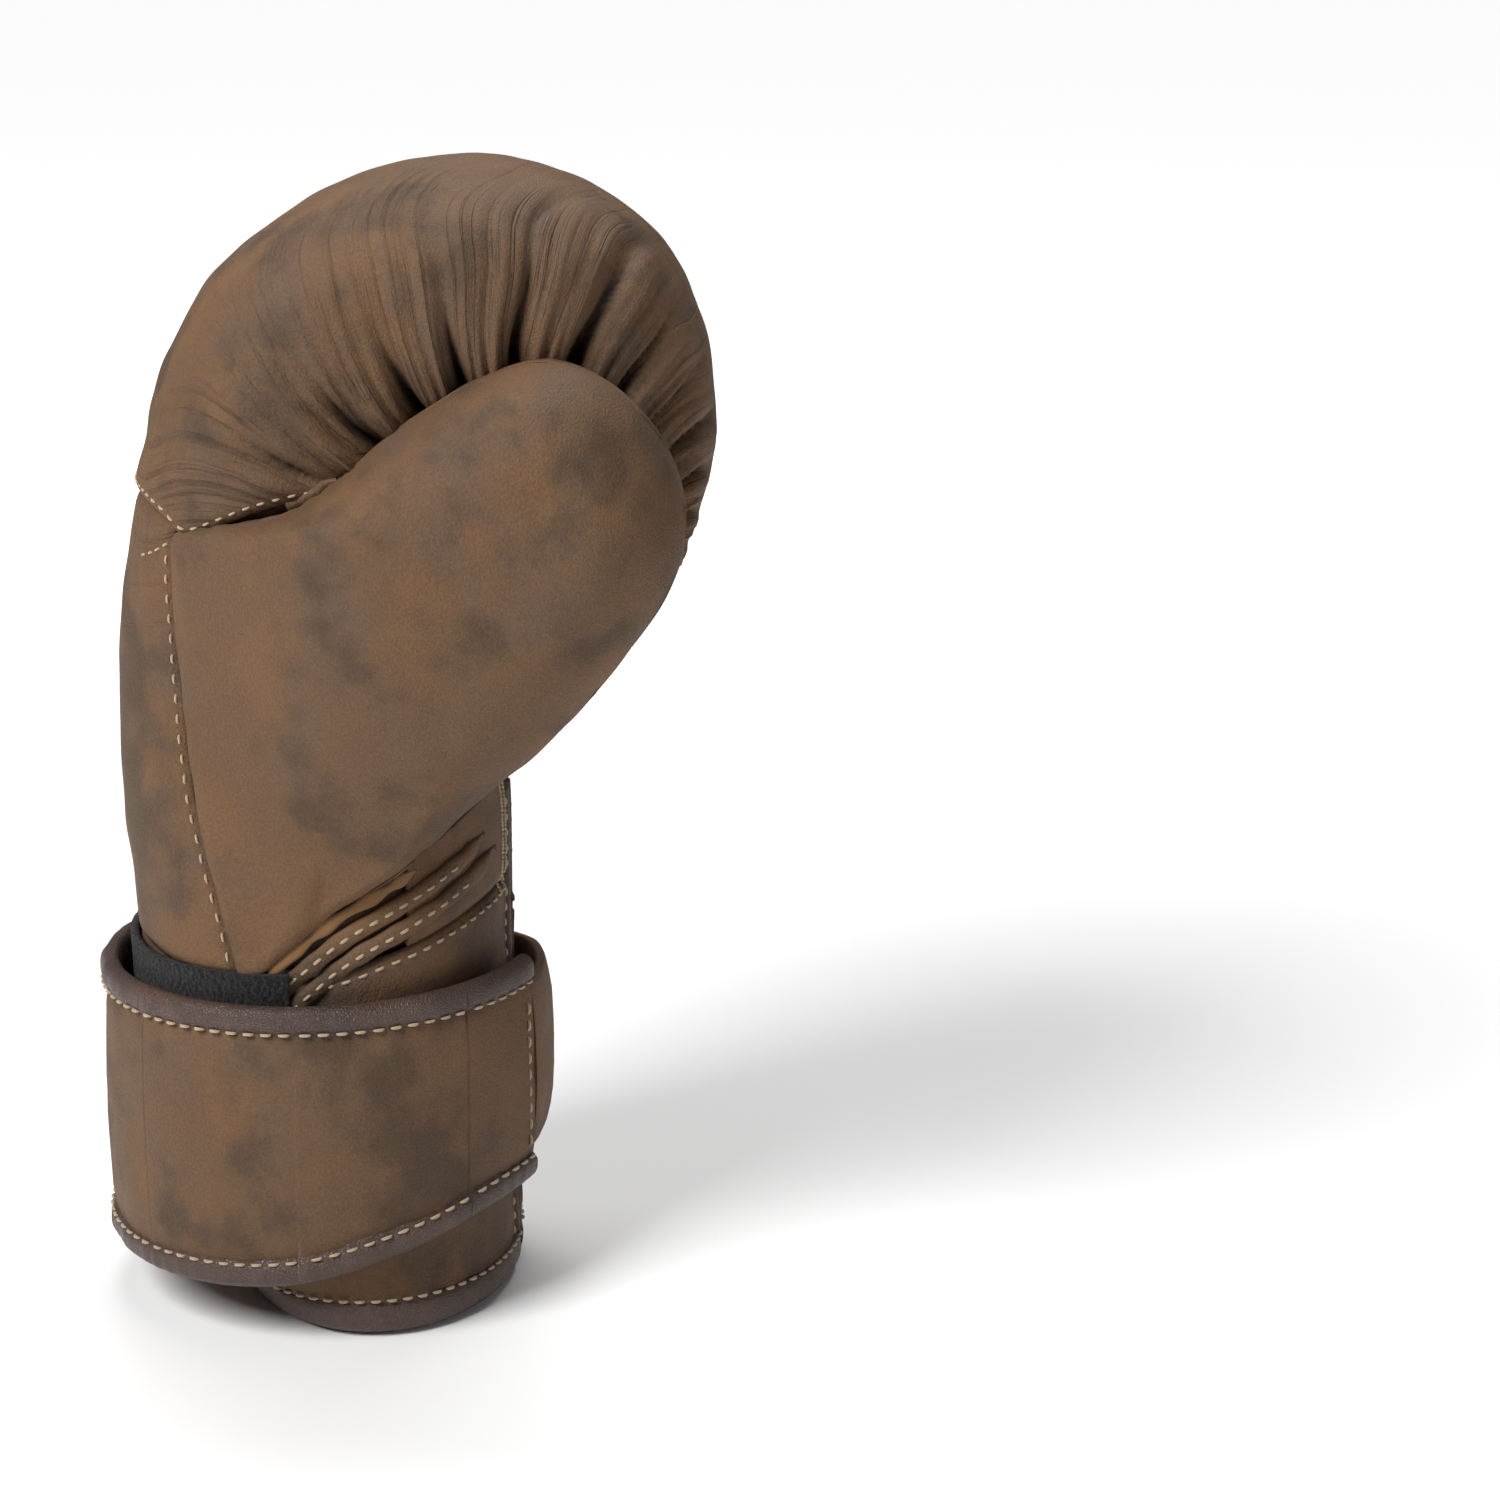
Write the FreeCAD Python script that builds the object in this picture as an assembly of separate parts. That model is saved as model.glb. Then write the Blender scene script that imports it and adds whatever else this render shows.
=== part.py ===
"""Left-hand boxing glove with a wrap-round hook-and-loop strap, as separate closed solids.

Millimetres. +Z runs from the wrist opening to the knuckles, +X is the palm side, -X the back of
the hand and -Y the thumb side. The origin is the centre of the wrist opening, on the hem's plane.
"""
import FreeCAD
import Part
import math
import os

V = FreeCAD.Vector
UP = V(0, 0, 1)
FAR = 400.0  # reaches past the glove on every side
smallest_solid = 5.0  # cubic millimetres; cutting leaves nothing smaller that is real

# Layers
leather = 1.6
lining = 1.1
layer_gap = 0.1  # between neighbouring layers, so that curved faces never cross

# Overall sizes
cuff_height = 96.0  # from the hem to the seam at the foot of the hand section
hand_height = 109.0  # from there to the seam at the foot of the mitt
wrist_depth = 66.0  # back to palm at the hem, outside
wrist_width = 100.0  # thumb side to little-finger side at the hem, outside
hand_width = 121.0  # at the knuckles
mitt_width = 124.0
mitt_radius = 66.0  # from the curl's centre over the knuckles

# Cuff and hand, section by section from the hem up. Each row has the height as a share of the
# cuff or hand height, then the back, the palm, the thumb side and the finger side as shares of
# half the wrist or hand size, then how thick the wall is at the back and at the palm.
cuff_rows = (
    (0.0, 1.0, 1.0, 1.0, 1.0, 8.0, 8.0),
    (0.125, 1.26, 1.02, 1.0, 1.0, 8.5, 8.0),
    (0.31, 1.62, 1.0, 1.01, 1.01, 11.0, 8.0),
    (0.62, 1.81, 1.0, 1.02, 1.02, 13.0, 8.0),
)
hand_rows = (
    (0.0, 1.86, 0.985, 0.84, 0.86, 15.0, 8.0),
    (0.27, 1.93, 0.98, 0.78, 0.91, 19.0, 11.0),
    (0.50, 1.95, 0.88, 0.73, 0.95, 22.0, 12.0),
    (0.75, 1.88, 0.70, 0.75, 0.985, 27.0, 12.0),
    (0.95, 1.77, 0.58, 0.84, 1.0, 31.0, 14.0),
)
side_wall = 8.0  # of the pocket, on the thumb side of the wrist
finger_side_shift = 5.0  # the pocket lies this much nearer the little finger

# Mitt: oval sections fanned round the curl's centre. Each row has the angle above the palm
# direction, then the outer radius, the thumb side and the finger side as shares.
curl_x = 26.0
curl_rise = 17.0  # of the curl's centre above the hand section
curl_inside = 12.5  # radius of the crease inside the curl
finger_face_radius = 34.0  # of the leather that lines the curl
finger_face_width = 76.0
mitt_rows = (
    (180.0, 1.205, 0.93, 1.0),
    (158.0, 1.13, 0.98, 1.0),
    (135.0, 1.065, 1.0, 1.0),
    (108.0, 1.01, 1.0, 1.0),
    (80.0, 1.01, 0.97, 0.99),
    (54.0, 0.995, 0.89, 0.97),
    (30.0, 0.965, 0.79, 0.93),
    (6.0, 0.915, 0.71, 0.87),
    (-18.0, 0.92, 0.67, 0.79),
)
# The fingertip end closes in: angle, inner and outer radius and both sides as shares
tip_rows = (
    (-34.0, 0.30, 0.945, 0.62, 0.69),
    (-47.0, 0.42, 0.955, 0.53, 0.56),
    (-57.0, 0.56, 0.92, 0.40, 0.42),
    (-63.0, 0.70, 0.85, 0.22, 0.24),
)

# Hand and finger pocket
pocket_width = 82.0
finger_depth = 22.0
finger_inside = 24.5  # radius of the finger pocket's inner wall round the curl
pocket_end = 54.0  # the angle where the finger pocket begins to close
pocket_tip = ((9.0, 0.86), (17.0, 0.6), (22.0, 0.25))
pad_tip = ((24.0, 0.95), (42.0, 0.68), (51.0, 0.3))
grip_radius = 5.0
grip_length = 66.0
grip_drop = 9.0  # below the top of the hand section

# Palm slit, its edge bindings and the elastic across its top
slit_width = 10.0
slit_top = 34.0  # above the foot of the hand section
slit_binding = 1.4
slit_lip = 0.8  # how far its binding stands out of the wall
gore_height = 21.0
gore_thickness = 1.6
hem_height = 8.0
hem_lip = 1.3
hem_gap = 0.4  # between the binding and the layers folded into it

# Thumb, and the side pad that it grows out of, as one pillow round three circles
thumb_tip_radius = 33.0
thumb_tip_x = 47.0
thumb_tip_rise = 9.0  # of its centre above the hand section
pad_low_radius = 25.0
pad_low_x = -13.0
pad_low_rise = 33.0  # above the foot of the hand section
pad_high_radius = 22.0
pad_high_x = -21.0
pad_high_drop = 20.0  # below the top of the hand section
pillow_inside = -26.0
pillow_depth = 57.0
pillow_tilt = 14.0  # degrees; it thins out towards the wrist
pillow_profile = ((0.0, 0.30), (0.3, 0.06), (0.55, 0.0), (0.76, 0.14), (0.92, 0.42), (1.0, 0.74))
thumb_bore = 13.0
thumb_clearance = 1.0  # between the thumb and the hand
hinge_gap = 0.9  # across the crease that the thumb turns on
hinge_top_x = -6.0
hinge_low_x = 16.0
hinge_top_rise = 10.0  # above the foot of the mitt
hinge_low_rise = 22.0  # above the foot of the hand section
thumb_spread = 6.0  # degrees; how far the thumb turns out
spread_steps = 3  # the thumb is cleared of the fist at this many places on its way
seam_depth_share = 0.62  # of the pillow's depth, where the thumb's two leather halves meet
bore_start_x = -14.0
bore_start_y = -26.0
bore_start_rise = 46.0  # above the foot of the hand section
bore_end_back = 6.0  # from the tip circle's centre towards the wrist
bore_end_drop = 3.0
tab_width = 16.0
tab_length = 17.0
tab_thickness = 1.6
welt_width = 5.0
welt_thickness = 1.5
welt_gap = 1.0
welt_slope = 14.0  # rise from the strap's back to its palm
welt_low = 10.0  # of the first strip's back end below the top of the cuff
welt_start_gap = 1.0  # from the loop panel's end
welt_end_x = 28.0

# Strap: an oval band round the cuff. Angles run from the palm towards the little finger.
strap_x = -14.2
strap_standoff = 9.0  # outer face of the strap outside the cuff, at the palm
strap_depth = 113.0
strap_width = 118.0
strap_thickness = 3.0
anchor_start = 46.0
anchor_end = 22.0
bridge_end = -24.0
strap_end = -250.0
strap_links = 5
link_gap = 0.8
strap_top_back = 88.0
strap_top_palm = 90.5
strap_low_back = 14.0
strap_low_palm = 30.0
bridge_inset = 9.0
binding_height = 8.0
binding_lip = 1.2
loop_thickness = 1.6
loop_start_x = -17.4
loop_margin = 8.0  # between the loop panel and the strap's lower edge at the back
loop_rise = 5.0  # of the loop panel above the strap
hook_thickness = 1.2
hook_length = 52.0  # degrees

# Where the leather panels meet
back_edge = -42.0  # the back panel ends here, on both sides
side_edge = 10.0  # the palm panel starts here
palm_fold = 4.0  # the palm panel's fold into the curl, past the curl's centre
palm_fold_drop = 50.0  # below the top of the hand section; the curl is open above it

mitt_base = cuff_height + hand_height
curl_centre = V(curl_x, 0, mitt_base + curl_rise)
thumb_tip_z = mitt_base + thumb_tip_rise
slit_top_z = cuff_height + slit_top


def box(x0, x1, y0, y1, z0, z1):
    return Part.makeBox(x1 - x0, y1 - y0, z1 - z0, V(x0, y0, z0))


def level(z0, z1):
    return box(-FAR, FAR, -FAR, FAR, z0, z1)


def oval_wire(centre, depth_dir, half_depth, half_width):
    """An ellipse whose width lies along Y."""
    across = V(0, 1, 0)
    if half_depth > half_width:
        curve = Part.Ellipse(centre + depth_dir * half_depth, centre + across * half_width, centre)
        start = math.pi / 2
    else:
        curve = Part.Ellipse(centre + across * half_width, centre - depth_dir * half_depth, centre)
        start = 0.0
    arc = Part.ArcOfEllipse(curve, start, start + 2 * math.pi)
    return Part.Wire(arc.toShape())


def between(first, second, share):
    return first + (second - first) * share


class Station:
    """One oval section: its outer skin and the pocket inside it.

    Each is (near, far, thumb side, finger side): two depths along the section's direction and
    two half widths.
    """

    def __init__(self, origin, angle, skin, pocket):
        self.origin = origin
        self.direction = V(math.cos(math.radians(angle)), 0, math.sin(math.radians(angle)))
        self.skin = skin
        self.pocket = pocket

    def wire(self, share, grow, scale=1.0):
        """share runs from 0 at the skin to 1 at the pocket; grow is an offset outwards."""
        sizes = self.skin
        if share > 0:
            sizes = [between(s, p, share) for s, p in zip(self.skin, self.pocket)]
        near, far, thumb_side, finger_side = sizes
        half_depth = ((far - near) / 2 + grow) * scale
        half_width = ((thumb_side + finger_side) / 2 + grow) * scale
        centre = self.origin + self.direction * ((near + far) / 2)
        centre += V(0, (finger_side - thumb_side) / 2, 0)
        return oval_wire(centre, self.direction, half_depth, half_width)


def level_station(z, back, palm, thumb_side, finger_side, back_wall, palm_wall, pocket_share):
    """A horizontal section; its depths run towards the back."""
    half_pocket = pocket_width / 2
    pocket_thumb = between(thumb_side - side_wall, half_pocket - finger_side_shift, pocket_share)
    pocket_finger = between(finger_side - side_wall, half_pocket + finger_side_shift, pocket_share)
    pocket = (palm_wall - palm, back - back_wall, pocket_thumb, pocket_finger)
    return Station(V(0, 0, z), 180.0, (-palm, back, thumb_side, finger_side), pocket)


def cuff_station(row):
    share, back, palm, thumb_side, finger_side, back_wall, palm_wall = row
    half_depth, half_width = wrist_depth / 2, wrist_width / 2
    return level_station(share * cuff_height, back * half_depth, palm * half_depth,
                         thumb_side * half_width, finger_side * half_width,
                         back_wall, palm_wall, 0.0)


def hand_station(row):
    share, back, palm, thumb_side, finger_side, back_wall, palm_wall = row
    half_depth, half_width = wrist_depth / 2, hand_width / 2
    return level_station(cuff_height + share * hand_height, back * half_depth, palm * half_depth,
                         thumb_side * half_width, finger_side * half_width,
                         back_wall, palm_wall, min(1.0, share * 2))


def mitt_station(angle, inner, outer, thumb_side, finger_side):
    half = mitt_width / 2
    skin = (inner, outer * mitt_radius, thumb_side * half, finger_side * half)
    half_pocket = pocket_width / 2
    pocket = (finger_inside, finger_inside + finger_depth,
              half_pocket - finger_side_shift, half_pocket + finger_side_shift)
    return Station(curl_centre, angle, skin, pocket)


stations = [cuff_station(row) for row in cuff_rows] + [hand_station(row) for row in hand_rows]
mitt_stations = [mitt_station(row[0], curl_inside, *row[1:]) for row in mitt_rows]
pocket_stations = stations + [s for s, row in zip(mitt_stations, mitt_rows) if row[0] >= pocket_end]


def lowered(share, grow, drop):
    """The hem's section again, a little lower, so that a cutting tool runs past the hem."""
    first = stations[0]
    return Station(UP * -drop, 180.0, first.skin, first.pocket).wire(share, grow)


def closed_loft(wires):
    solid = Part.makeLoft(wires, True, False)
    if solid.Volume < 0:
        solid.reverse()
    return solid


def skin_solid(grow, drop=0.0):
    """The whole glove without thumb or strap, out to the skin and offset by grow."""
    wires = [lowered(0, grow, drop)] if drop else []
    wires += [s.wire(0, grow) for s in stations + mitt_stations]
    turn = math.degrees(grow / (0.78 * mitt_radius))
    for row in tip_rows:
        station = mitt_station(row[0] - turn, row[1] * mitt_radius, *row[2:])
        wires.append(station.wire(0, grow))
    return closed_loft(wires)


def inner_solid(share, grow, tip, drop=5.0):
    """A surface between the skin and the pocket, which ends inside the mitt."""
    wires = [lowered(share, grow, drop)]
    wires += [s.wire(share, grow) for s in pocket_stations]
    last = pocket_stations[-1]
    extra = math.degrees(grow / (finger_inside + finger_depth / 2))
    for turn, scale in tip:
        station = Station(curl_centre, pocket_end - turn - extra, last.skin, last.pocket)
        wires.append(station.wire(share, grow, scale))
    return closed_loft(wires)


def hull_wire(circles, inset, y):
    """Outline of a belt round circles (x, z, radius), in the plane Y = y."""
    count = len(circles)
    straights = []
    for i in range(count):
        xa, za, ra = circles[i]
        xb, zb, rb = circles[(i + 1) % count]
        heading = math.atan2(zb - za, xb - xa)
        normal = heading - math.pi / 2 + math.asin((ra - rb) / math.hypot(xb - xa, zb - za))
        out = V(math.cos(normal), 0, math.sin(normal))
        start = V(xa, y, za) + out * (ra - inset)
        end = V(xb, y, zb) + out * (rb - inset)
        straights.append((start, end, normal))
    edges = []
    for i in range(count):
        start, end, normal = straights[i]
        following = straights[(i + 1) % count]
        x, z, radius = circles[(i + 1) % count]
        middle = normal + ((following[2] - normal) % (2 * math.pi)) / 2
        crown = V(x, y, z) + V(math.cos(middle), 0, math.sin(middle)) * (radius - inset)
        edges.append(Part.LineSegment(start, end).toShape())
        edges.append(Part.Arc(end, crown, following[0]).toShape())
    return Part.Wire(edges)


pad_low_z = cuff_height + pad_low_rise
pad_high_z = mitt_base - pad_high_drop
pillow_circles = (
    (pad_low_x, pad_low_z, pad_low_radius),
    (thumb_tip_x, thumb_tip_z, thumb_tip_radius),
    (pad_high_x, pad_high_z, pad_high_radius),
)
pillow_along = V(thumb_tip_x - pad_low_x, 0, thumb_tip_z - pad_low_z).normalize()
tilt_axis = pillow_along.cross(V(0, 1, 0))
tilt_centre = V(thumb_tip_x, pillow_inside - pillow_depth / 2, thumb_tip_z)


def pillow(inset):
    """Thumb and side pad together, inset from their outside."""
    wires = []
    for share, pull in pillow_profile:
        y = between(pillow_inside - inset, pillow_inside - pillow_depth + inset, share)
        wires.append(hull_wire(pillow_circles, inset + pull * pad_high_radius, y))
    solid = closed_loft(wires)
    solid.rotate(tilt_centre, tilt_axis, -pillow_tilt)
    return solid


def pillow_face(x, z):
    """The point of the pillow's outer face above (x, z), before the tilt."""
    point = V(x, pillow_inside - pillow_depth, z)
    turn = FreeCAD.Rotation(tilt_axis, -pillow_tilt)
    return tilt_centre + turn.multVec(point - tilt_centre)


hinge_top = pillow_face(hinge_top_x, mitt_base + hinge_top_rise)
hinge_low = pillow_face(hinge_low_x, cuff_height + hinge_low_rise)
hinge_line = (hinge_low - hinge_top).normalize()


def thumb_side_half(gap):
    """Everything on the thumb's side of the crease it turns on, gap away from that crease."""
    towards_thumb = hinge_line.cross(V(0, -1, 0)).normalize()
    if towards_thumb.x < 0:
        towards_thumb = towards_thumb * -1
    turn = FreeCAD.Rotation(V(1, 0, 0), towards_thumb)
    half = Part.makeBox(FAR, 2 * FAR, 2 * FAR, V(0, -FAR, -FAR))
    return half.transformed(FreeCAD.Placement(hinge_top + towards_thumb * gap, turn).toMatrix())


def keep(name, shape):
    solids = [s for s in shape.Solids if s.Volume > smallest_solid]
    made = Part.makeCompound(solids) if len(solids) > 1 else solids[0]
    good = all(s.isValid() for s in solids)
    print(f"{name:26s} solids {len(solids)} volume {made.Volume:10.0f} valid {good}")
    made.exportStep(f"parts/{name}.step")
    return made


def largest(shape):
    """The one body of a cut shape, without the scraps beside it."""
    return max(shape.Solids, key=lambda solid: solid.Volume)


def slab(back_low, palm_low, back_high, palm_high):
    """A slab between two slanted levels, each given at the strap's back and at its palm."""
    back = strap_x - strap_depth / 2
    palm = strap_x + strap_depth / 2
    low_slope = (palm_low - back_low) / (palm - back)
    high_slope = (palm_high - back_high) / (palm - back)
    corners = [V(-FAR, -FAR, back_low - (FAR + back) * low_slope),
               V(FAR, -FAR, palm_low + (FAR - palm) * low_slope),
               V(FAR, -FAR, palm_high + (FAR - palm) * high_slope),
               V(-FAR, -FAR, back_high - (FAR + back) * high_slope)]
    return Part.Face(Part.makePolygon(corners + corners[:1])).extrude(V(0, 2 * FAR, 0))


def strap_oval(inset):
    wire = oval_wire(V(strap_x, 0, 0), V(1, 0, 0), strap_depth / 2 - inset, strap_width / 2 - inset)
    return Part.Face(wire).extrude(UP * FAR)


def strap_sector(start, end):
    """The wedge of space from angle start down to angle end, round the strap's middle."""
    steps = max(2, int((start - end) / 30) + 1)
    turns = [math.radians(between(start, end, i / steps)) for i in range(steps + 1)]
    rim = [V(strap_x + FAR * math.cos(a), FAR * math.sin(a), 0) for a in turns]
    centre = V(strap_x, 0, 0)
    return Part.Face(Part.makePolygon([centre] + rim + [centre])).extrude(UP * FAR)


def strap_pivot(angle):
    """A point on the bindings' outer face and the strap's outward direction there."""
    a = strap_depth / 2 + binding_lip
    b = strap_width / 2 + binding_lip
    turn = math.radians(angle)
    out = V(b * math.cos(turn), a * math.sin(turn), 0).normalize()
    return V(strap_x + a * math.cos(turn), b * math.sin(turn), 0), out


def link_knife(angle):
    """The space between two links of the strap."""
    point, out = strap_pivot(angle)
    reach = 2 * strap_thickness + 4 * binding_lip + leather
    knife = Part.makeBox(2 * reach, link_gap, FAR, V(-reach, -link_gap / 2, 0))
    knife.rotate(V(0, 0, 0), UP, math.degrees(math.atan2(out.y, out.x)))
    knife.translate(point)
    return knife


link_angles = [between(bridge_end, strap_end, i / strap_links) for i in range(strap_links + 1)]
joint_angles = [anchor_end] + link_angles[:-1]

skin = skin_solid(0)
skin_back = skin_solid(-leather, 5)
pad_face = skin_solid(-leather - layer_gap, 5)
pocket = inner_solid(1, 0, pocket_tip)
lining_back = inner_solid(1, lining, pocket_tip)
pad_back = inner_solid(1, lining + layer_gap, pocket_tip)
pad_middle = inner_solid(0.5, 0, pad_tip)
pad_middle_back = inner_solid(0.5, -layer_gap, pad_tip)
clear_of_skin = skin_solid(thumb_clearance)

# Where the panels meet
cuff_zone = level(hem_lip, cuff_height)
palm_edge = curl_x + palm_fold
hand_zone = box(-FAR, palm_edge, -FAR, FAR, cuff_height, mitt_base)
low_palm = box(palm_edge, FAR, -FAR, FAR, cuff_height, mitt_base - palm_fold_drop)
hand_zone = hand_zone.fuse(low_palm)

slit_half = slit_width / 2
slit = box(0, FAR, -slit_half, slit_half, -FAR, slit_top_z)
slit_open = box(0, FAR, -slit_half + slit_binding, slit_half - slit_binding, -FAR, slit_top_z)

# The passage from the hand pocket into the thumb
bore_start = V(bore_start_x, bore_start_y, cuff_height + bore_start_rise)
bore_end = V(thumb_tip_x - bore_end_back, pillow_inside - pillow_depth * seam_depth_share,
             thumb_tip_z - bore_end_drop)
bore_way = bore_end - bore_start
bore_low = bore_start - bore_way * 0.1


def bore(extra):
    """The thumb's pocket with a round end, extra bigger than the opening."""
    tube = Part.makeCylinder(thumb_bore + extra, bore_way.Length * 1.1, bore_low, bore_way)
    return tube.fuse(Part.makeSphere(thumb_bore + extra, bore_end))


shell = skin.cut(skin_back)
padding = pad_face.cut(pad_back)
lining_shell = lining_back.cut(pocket)
thumb_way = bore(lining + layer_gap)
pillow_solid = pillow(0)
pillow_back = pillow(leather)
pillow_pad = pillow(leather + layer_gap)
pad_half = thumb_side_half(-hinge_gap / 2)
thumb_half = thumb_side_half(hinge_gap / 2)
pad_window = pillow_pad.cut(pad_half)

grip_axis_x = between(hand_rows[-1][2] * wrist_depth / 2, curl_x - finger_inside, 0.5) - 1.5
grip_axis_z = mitt_base - grip_drop
above_cuff = level(cuff_height, FAR)


def mitt_leather():
    """The big cover over the knuckles and fingers, and the face that curls towards the palm."""
    mitt = shell.cut(hand_zone).common(above_cuff)
    base = V(curl_x, -finger_face_width / 2, curl_centre.z)
    inside = Part.makeCylinder(finger_face_radius, finger_face_width, base, V(0, 1, 0))
    keep("mitt_cover", mitt.cut(inside))
    keep("finger_face", mitt.common(inside))


def hand_leather():
    """Four panels round the hand, below the mitt."""
    hand = shell.common(hand_zone).cut(slit)
    keep("back_hand_panel", hand.common(box(-FAR, back_edge, -FAR, FAR, 0, FAR)))
    keep("palm_panel", hand.common(box(side_edge, FAR, -FAR, FAR, 0, FAR)).cut(thumb_way))
    keep("finger_side_panel", hand.common(box(back_edge, side_edge, 0, FAR, 0, FAR)))
    thumb_side = hand.common(box(back_edge, side_edge, -FAR, 0, 0, FAR))
    keep("thumb_gusset", thumb_side.cut(pad_window).cut(thumb_way))


def hand_padding():
    """Foam round the hand: a palm pad and a back pad below the mitt, two layers inside it."""
    hand = padding.common(hand_zone).cut(slit).cut(thumb_way)
    grip_space = Part.makeCylinder(grip_radius + layer_gap, grip_length + 2 * layer_gap,
                                   V(grip_axis_x, -grip_length / 2 - layer_gap, grip_axis_z),
                                   V(0, 1, 0))
    keep("back_pad", hand.common(box(-FAR, -layer_gap, -FAR, FAR, 0, FAR)))
    keep("palm_pad", hand.common(box(0, FAR, -FAR, FAR, 0, FAR)).cut(grip_space))
    mitt_zone = hand_zone.fuse(level(-FAR, cuff_height))
    outer = pad_face.cut(pad_middle).cut(mitt_zone)
    inner = pad_middle_back.cut(pad_back).cut(mitt_zone)
    keep("outer_knuckle_pad", outer)
    keep("inner_knuckle_pad", inner)


def grip_bar():
    """A firm roll inside the palm pad; it stops where the pad does."""
    start = V(grip_axis_x, -grip_length / 2, grip_axis_z)
    roll = Part.makeCylinder(grip_radius, grip_length, start, V(0, 1, 0))
    keep("grip_bar", roll.common(padding).common(box(0, FAR, -FAR, FAR, 0, FAR)))


def linings():
    """One bag for the hand and fingers, and the cuff's own lining below it."""
    keep("hand_lining", lining_shell.common(above_cuff).cut(slit).cut(thumb_way))
    keep("cuff_lining", lining_shell.common(cuff_zone).cut(slit))


def cuff():
    """Three leather panels over one foam tube, open down the palm slit."""
    outside = shell.common(cuff_zone).cut(slit)
    keep("cuff_back_panel", outside.common(box(-FAR, back_edge, -FAR, FAR, 0, FAR)))
    front = outside.common(box(back_edge, FAR, -FAR, FAR, 0, FAR))
    keep("cuff_thumb_side_panel", front.common(box(-FAR, FAR, -FAR, 0, 0, FAR)))
    keep("cuff_finger_side_panel", front.common(box(-FAR, FAR, 0, FAR, 0, FAR)))
    keep("cuff_pad", padding.common(cuff_zone).cut(slit))


def hem():
    """A folded binding round the wrist opening; the cuff's layers end inside it."""
    ring = skin_solid(hem_lip, 5).cut(inner_solid(1, -hem_lip, pocket_tip))
    folded = ring.common(level(0, hem_height)).cut(slit)
    inside_it = level(hem_lip, hem_height + hem_lip)
    wall = skin_solid(hem_gap, 5).cut(inner_solid(1, -hem_gap, pocket_tip))
    keep("hem_binding", folded.cut(wall.common(inside_it)))


def slit_trim():
    """A folded binding on each edge of the palm slit, and the elastic that joins its top."""
    wall = skin_solid(slit_lip, 5).cut(inner_solid(1, -slit_lip, pocket_tip))
    height = box(0, FAR, -FAR, FAR, 0, slit_top_z)
    trim = wall.common(height).common(slit).cut(slit_open)
    keep("slit_binding_thumb_side", trim.common(box(0, FAR, -FAR, 0, 0, FAR)))
    keep("slit_binding_finger_side", trim.common(box(0, FAR, 0, FAR, 0, FAR)))
    elastic = shell.common(slit_open)
    keep("palm_gore", elastic.common(level(slit_top_z - gore_height, slit_top_z)))


def side_pad():
    """The fixed part of the pillow, on the thumb side of the hand."""
    cover = pillow_solid.cut(pillow_back).cut(pad_half).cut(skin_solid(layer_gap))
    keep("thumb_side_panel", cover.cut(thumb_way))
    mitt = shell.cut(hand_zone).common(above_cuff)
    keep("thumb_side_pad", pad_window.cut(skin_back).cut(mitt).cut(thumb_way))


def thumb():
    """The moving part of the pillow: leather in two halves, foam, and the thumb's own pocket."""
    space = thumb_half.cut(clear_of_skin)
    for step in range(1, spread_steps + 1):
        fist = clear_of_skin.copy()
        fist.rotate(hinge_top, hinge_line, -thumb_spread * step / spread_steps)
        space = space.cut(fist)
    leather_shell = pillow_solid.cut(pillow_back).common(space).cut(thumb_way)
    middle = pillow_inside - pillow_depth * seam_depth_share
    outside = Part.makeBox(2 * FAR, FAR, 2 * FAR, V(-FAR, middle - FAR, -FAR))
    outside.rotate(tilt_centre, tilt_axis, -pillow_tilt)
    keep("thumb_outer_panel", largest(leather_shell.common(outside)))
    keep("thumb_inner_panel", largest(leather_shell.cut(outside)))
    keep("thumb_pad", largest(pillow_pad.common(space).cut(thumb_way)))
    tube = bore(lining).cut(bore(0)).common(pillow_pad).common(space)
    keep("thumb_lining", tube)


def loop_panel():
    """Loop pile sewn round the back of the cuff."""
    zone = slab(strap_low_back + loop_margin, strap_low_back + loop_margin,
                strap_top_back + loop_rise, strap_top_back + loop_rise)
    zone = zone.common(box(-FAR, loop_start_x, -FAR, FAR, 0, FAR))
    pile = skin_solid(layer_gap + loop_thickness).common(zone)
    keep("loop_panel", pile.cut(skin_solid(layer_gap, 5)))


def links_between(shape, start, end):
    """The solids of a cut band whose middles lie between two angles."""
    found = []
    for solid in shape.Solids:
        middle = solid.CenterOfMass
        angle = math.degrees(math.atan2(middle.y, middle.x - strap_x))
        if angle > anchor_start:
            angle -= 360
        if start >= angle > end:
            found.append(solid)
    return Part.makeCompound(found)


def cut_at_links(band):
    band = band.common(strap_sector(anchor_start, strap_end))
    for angle in joint_angles:
        band = band.cut(link_knife(angle))
    return band


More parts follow.
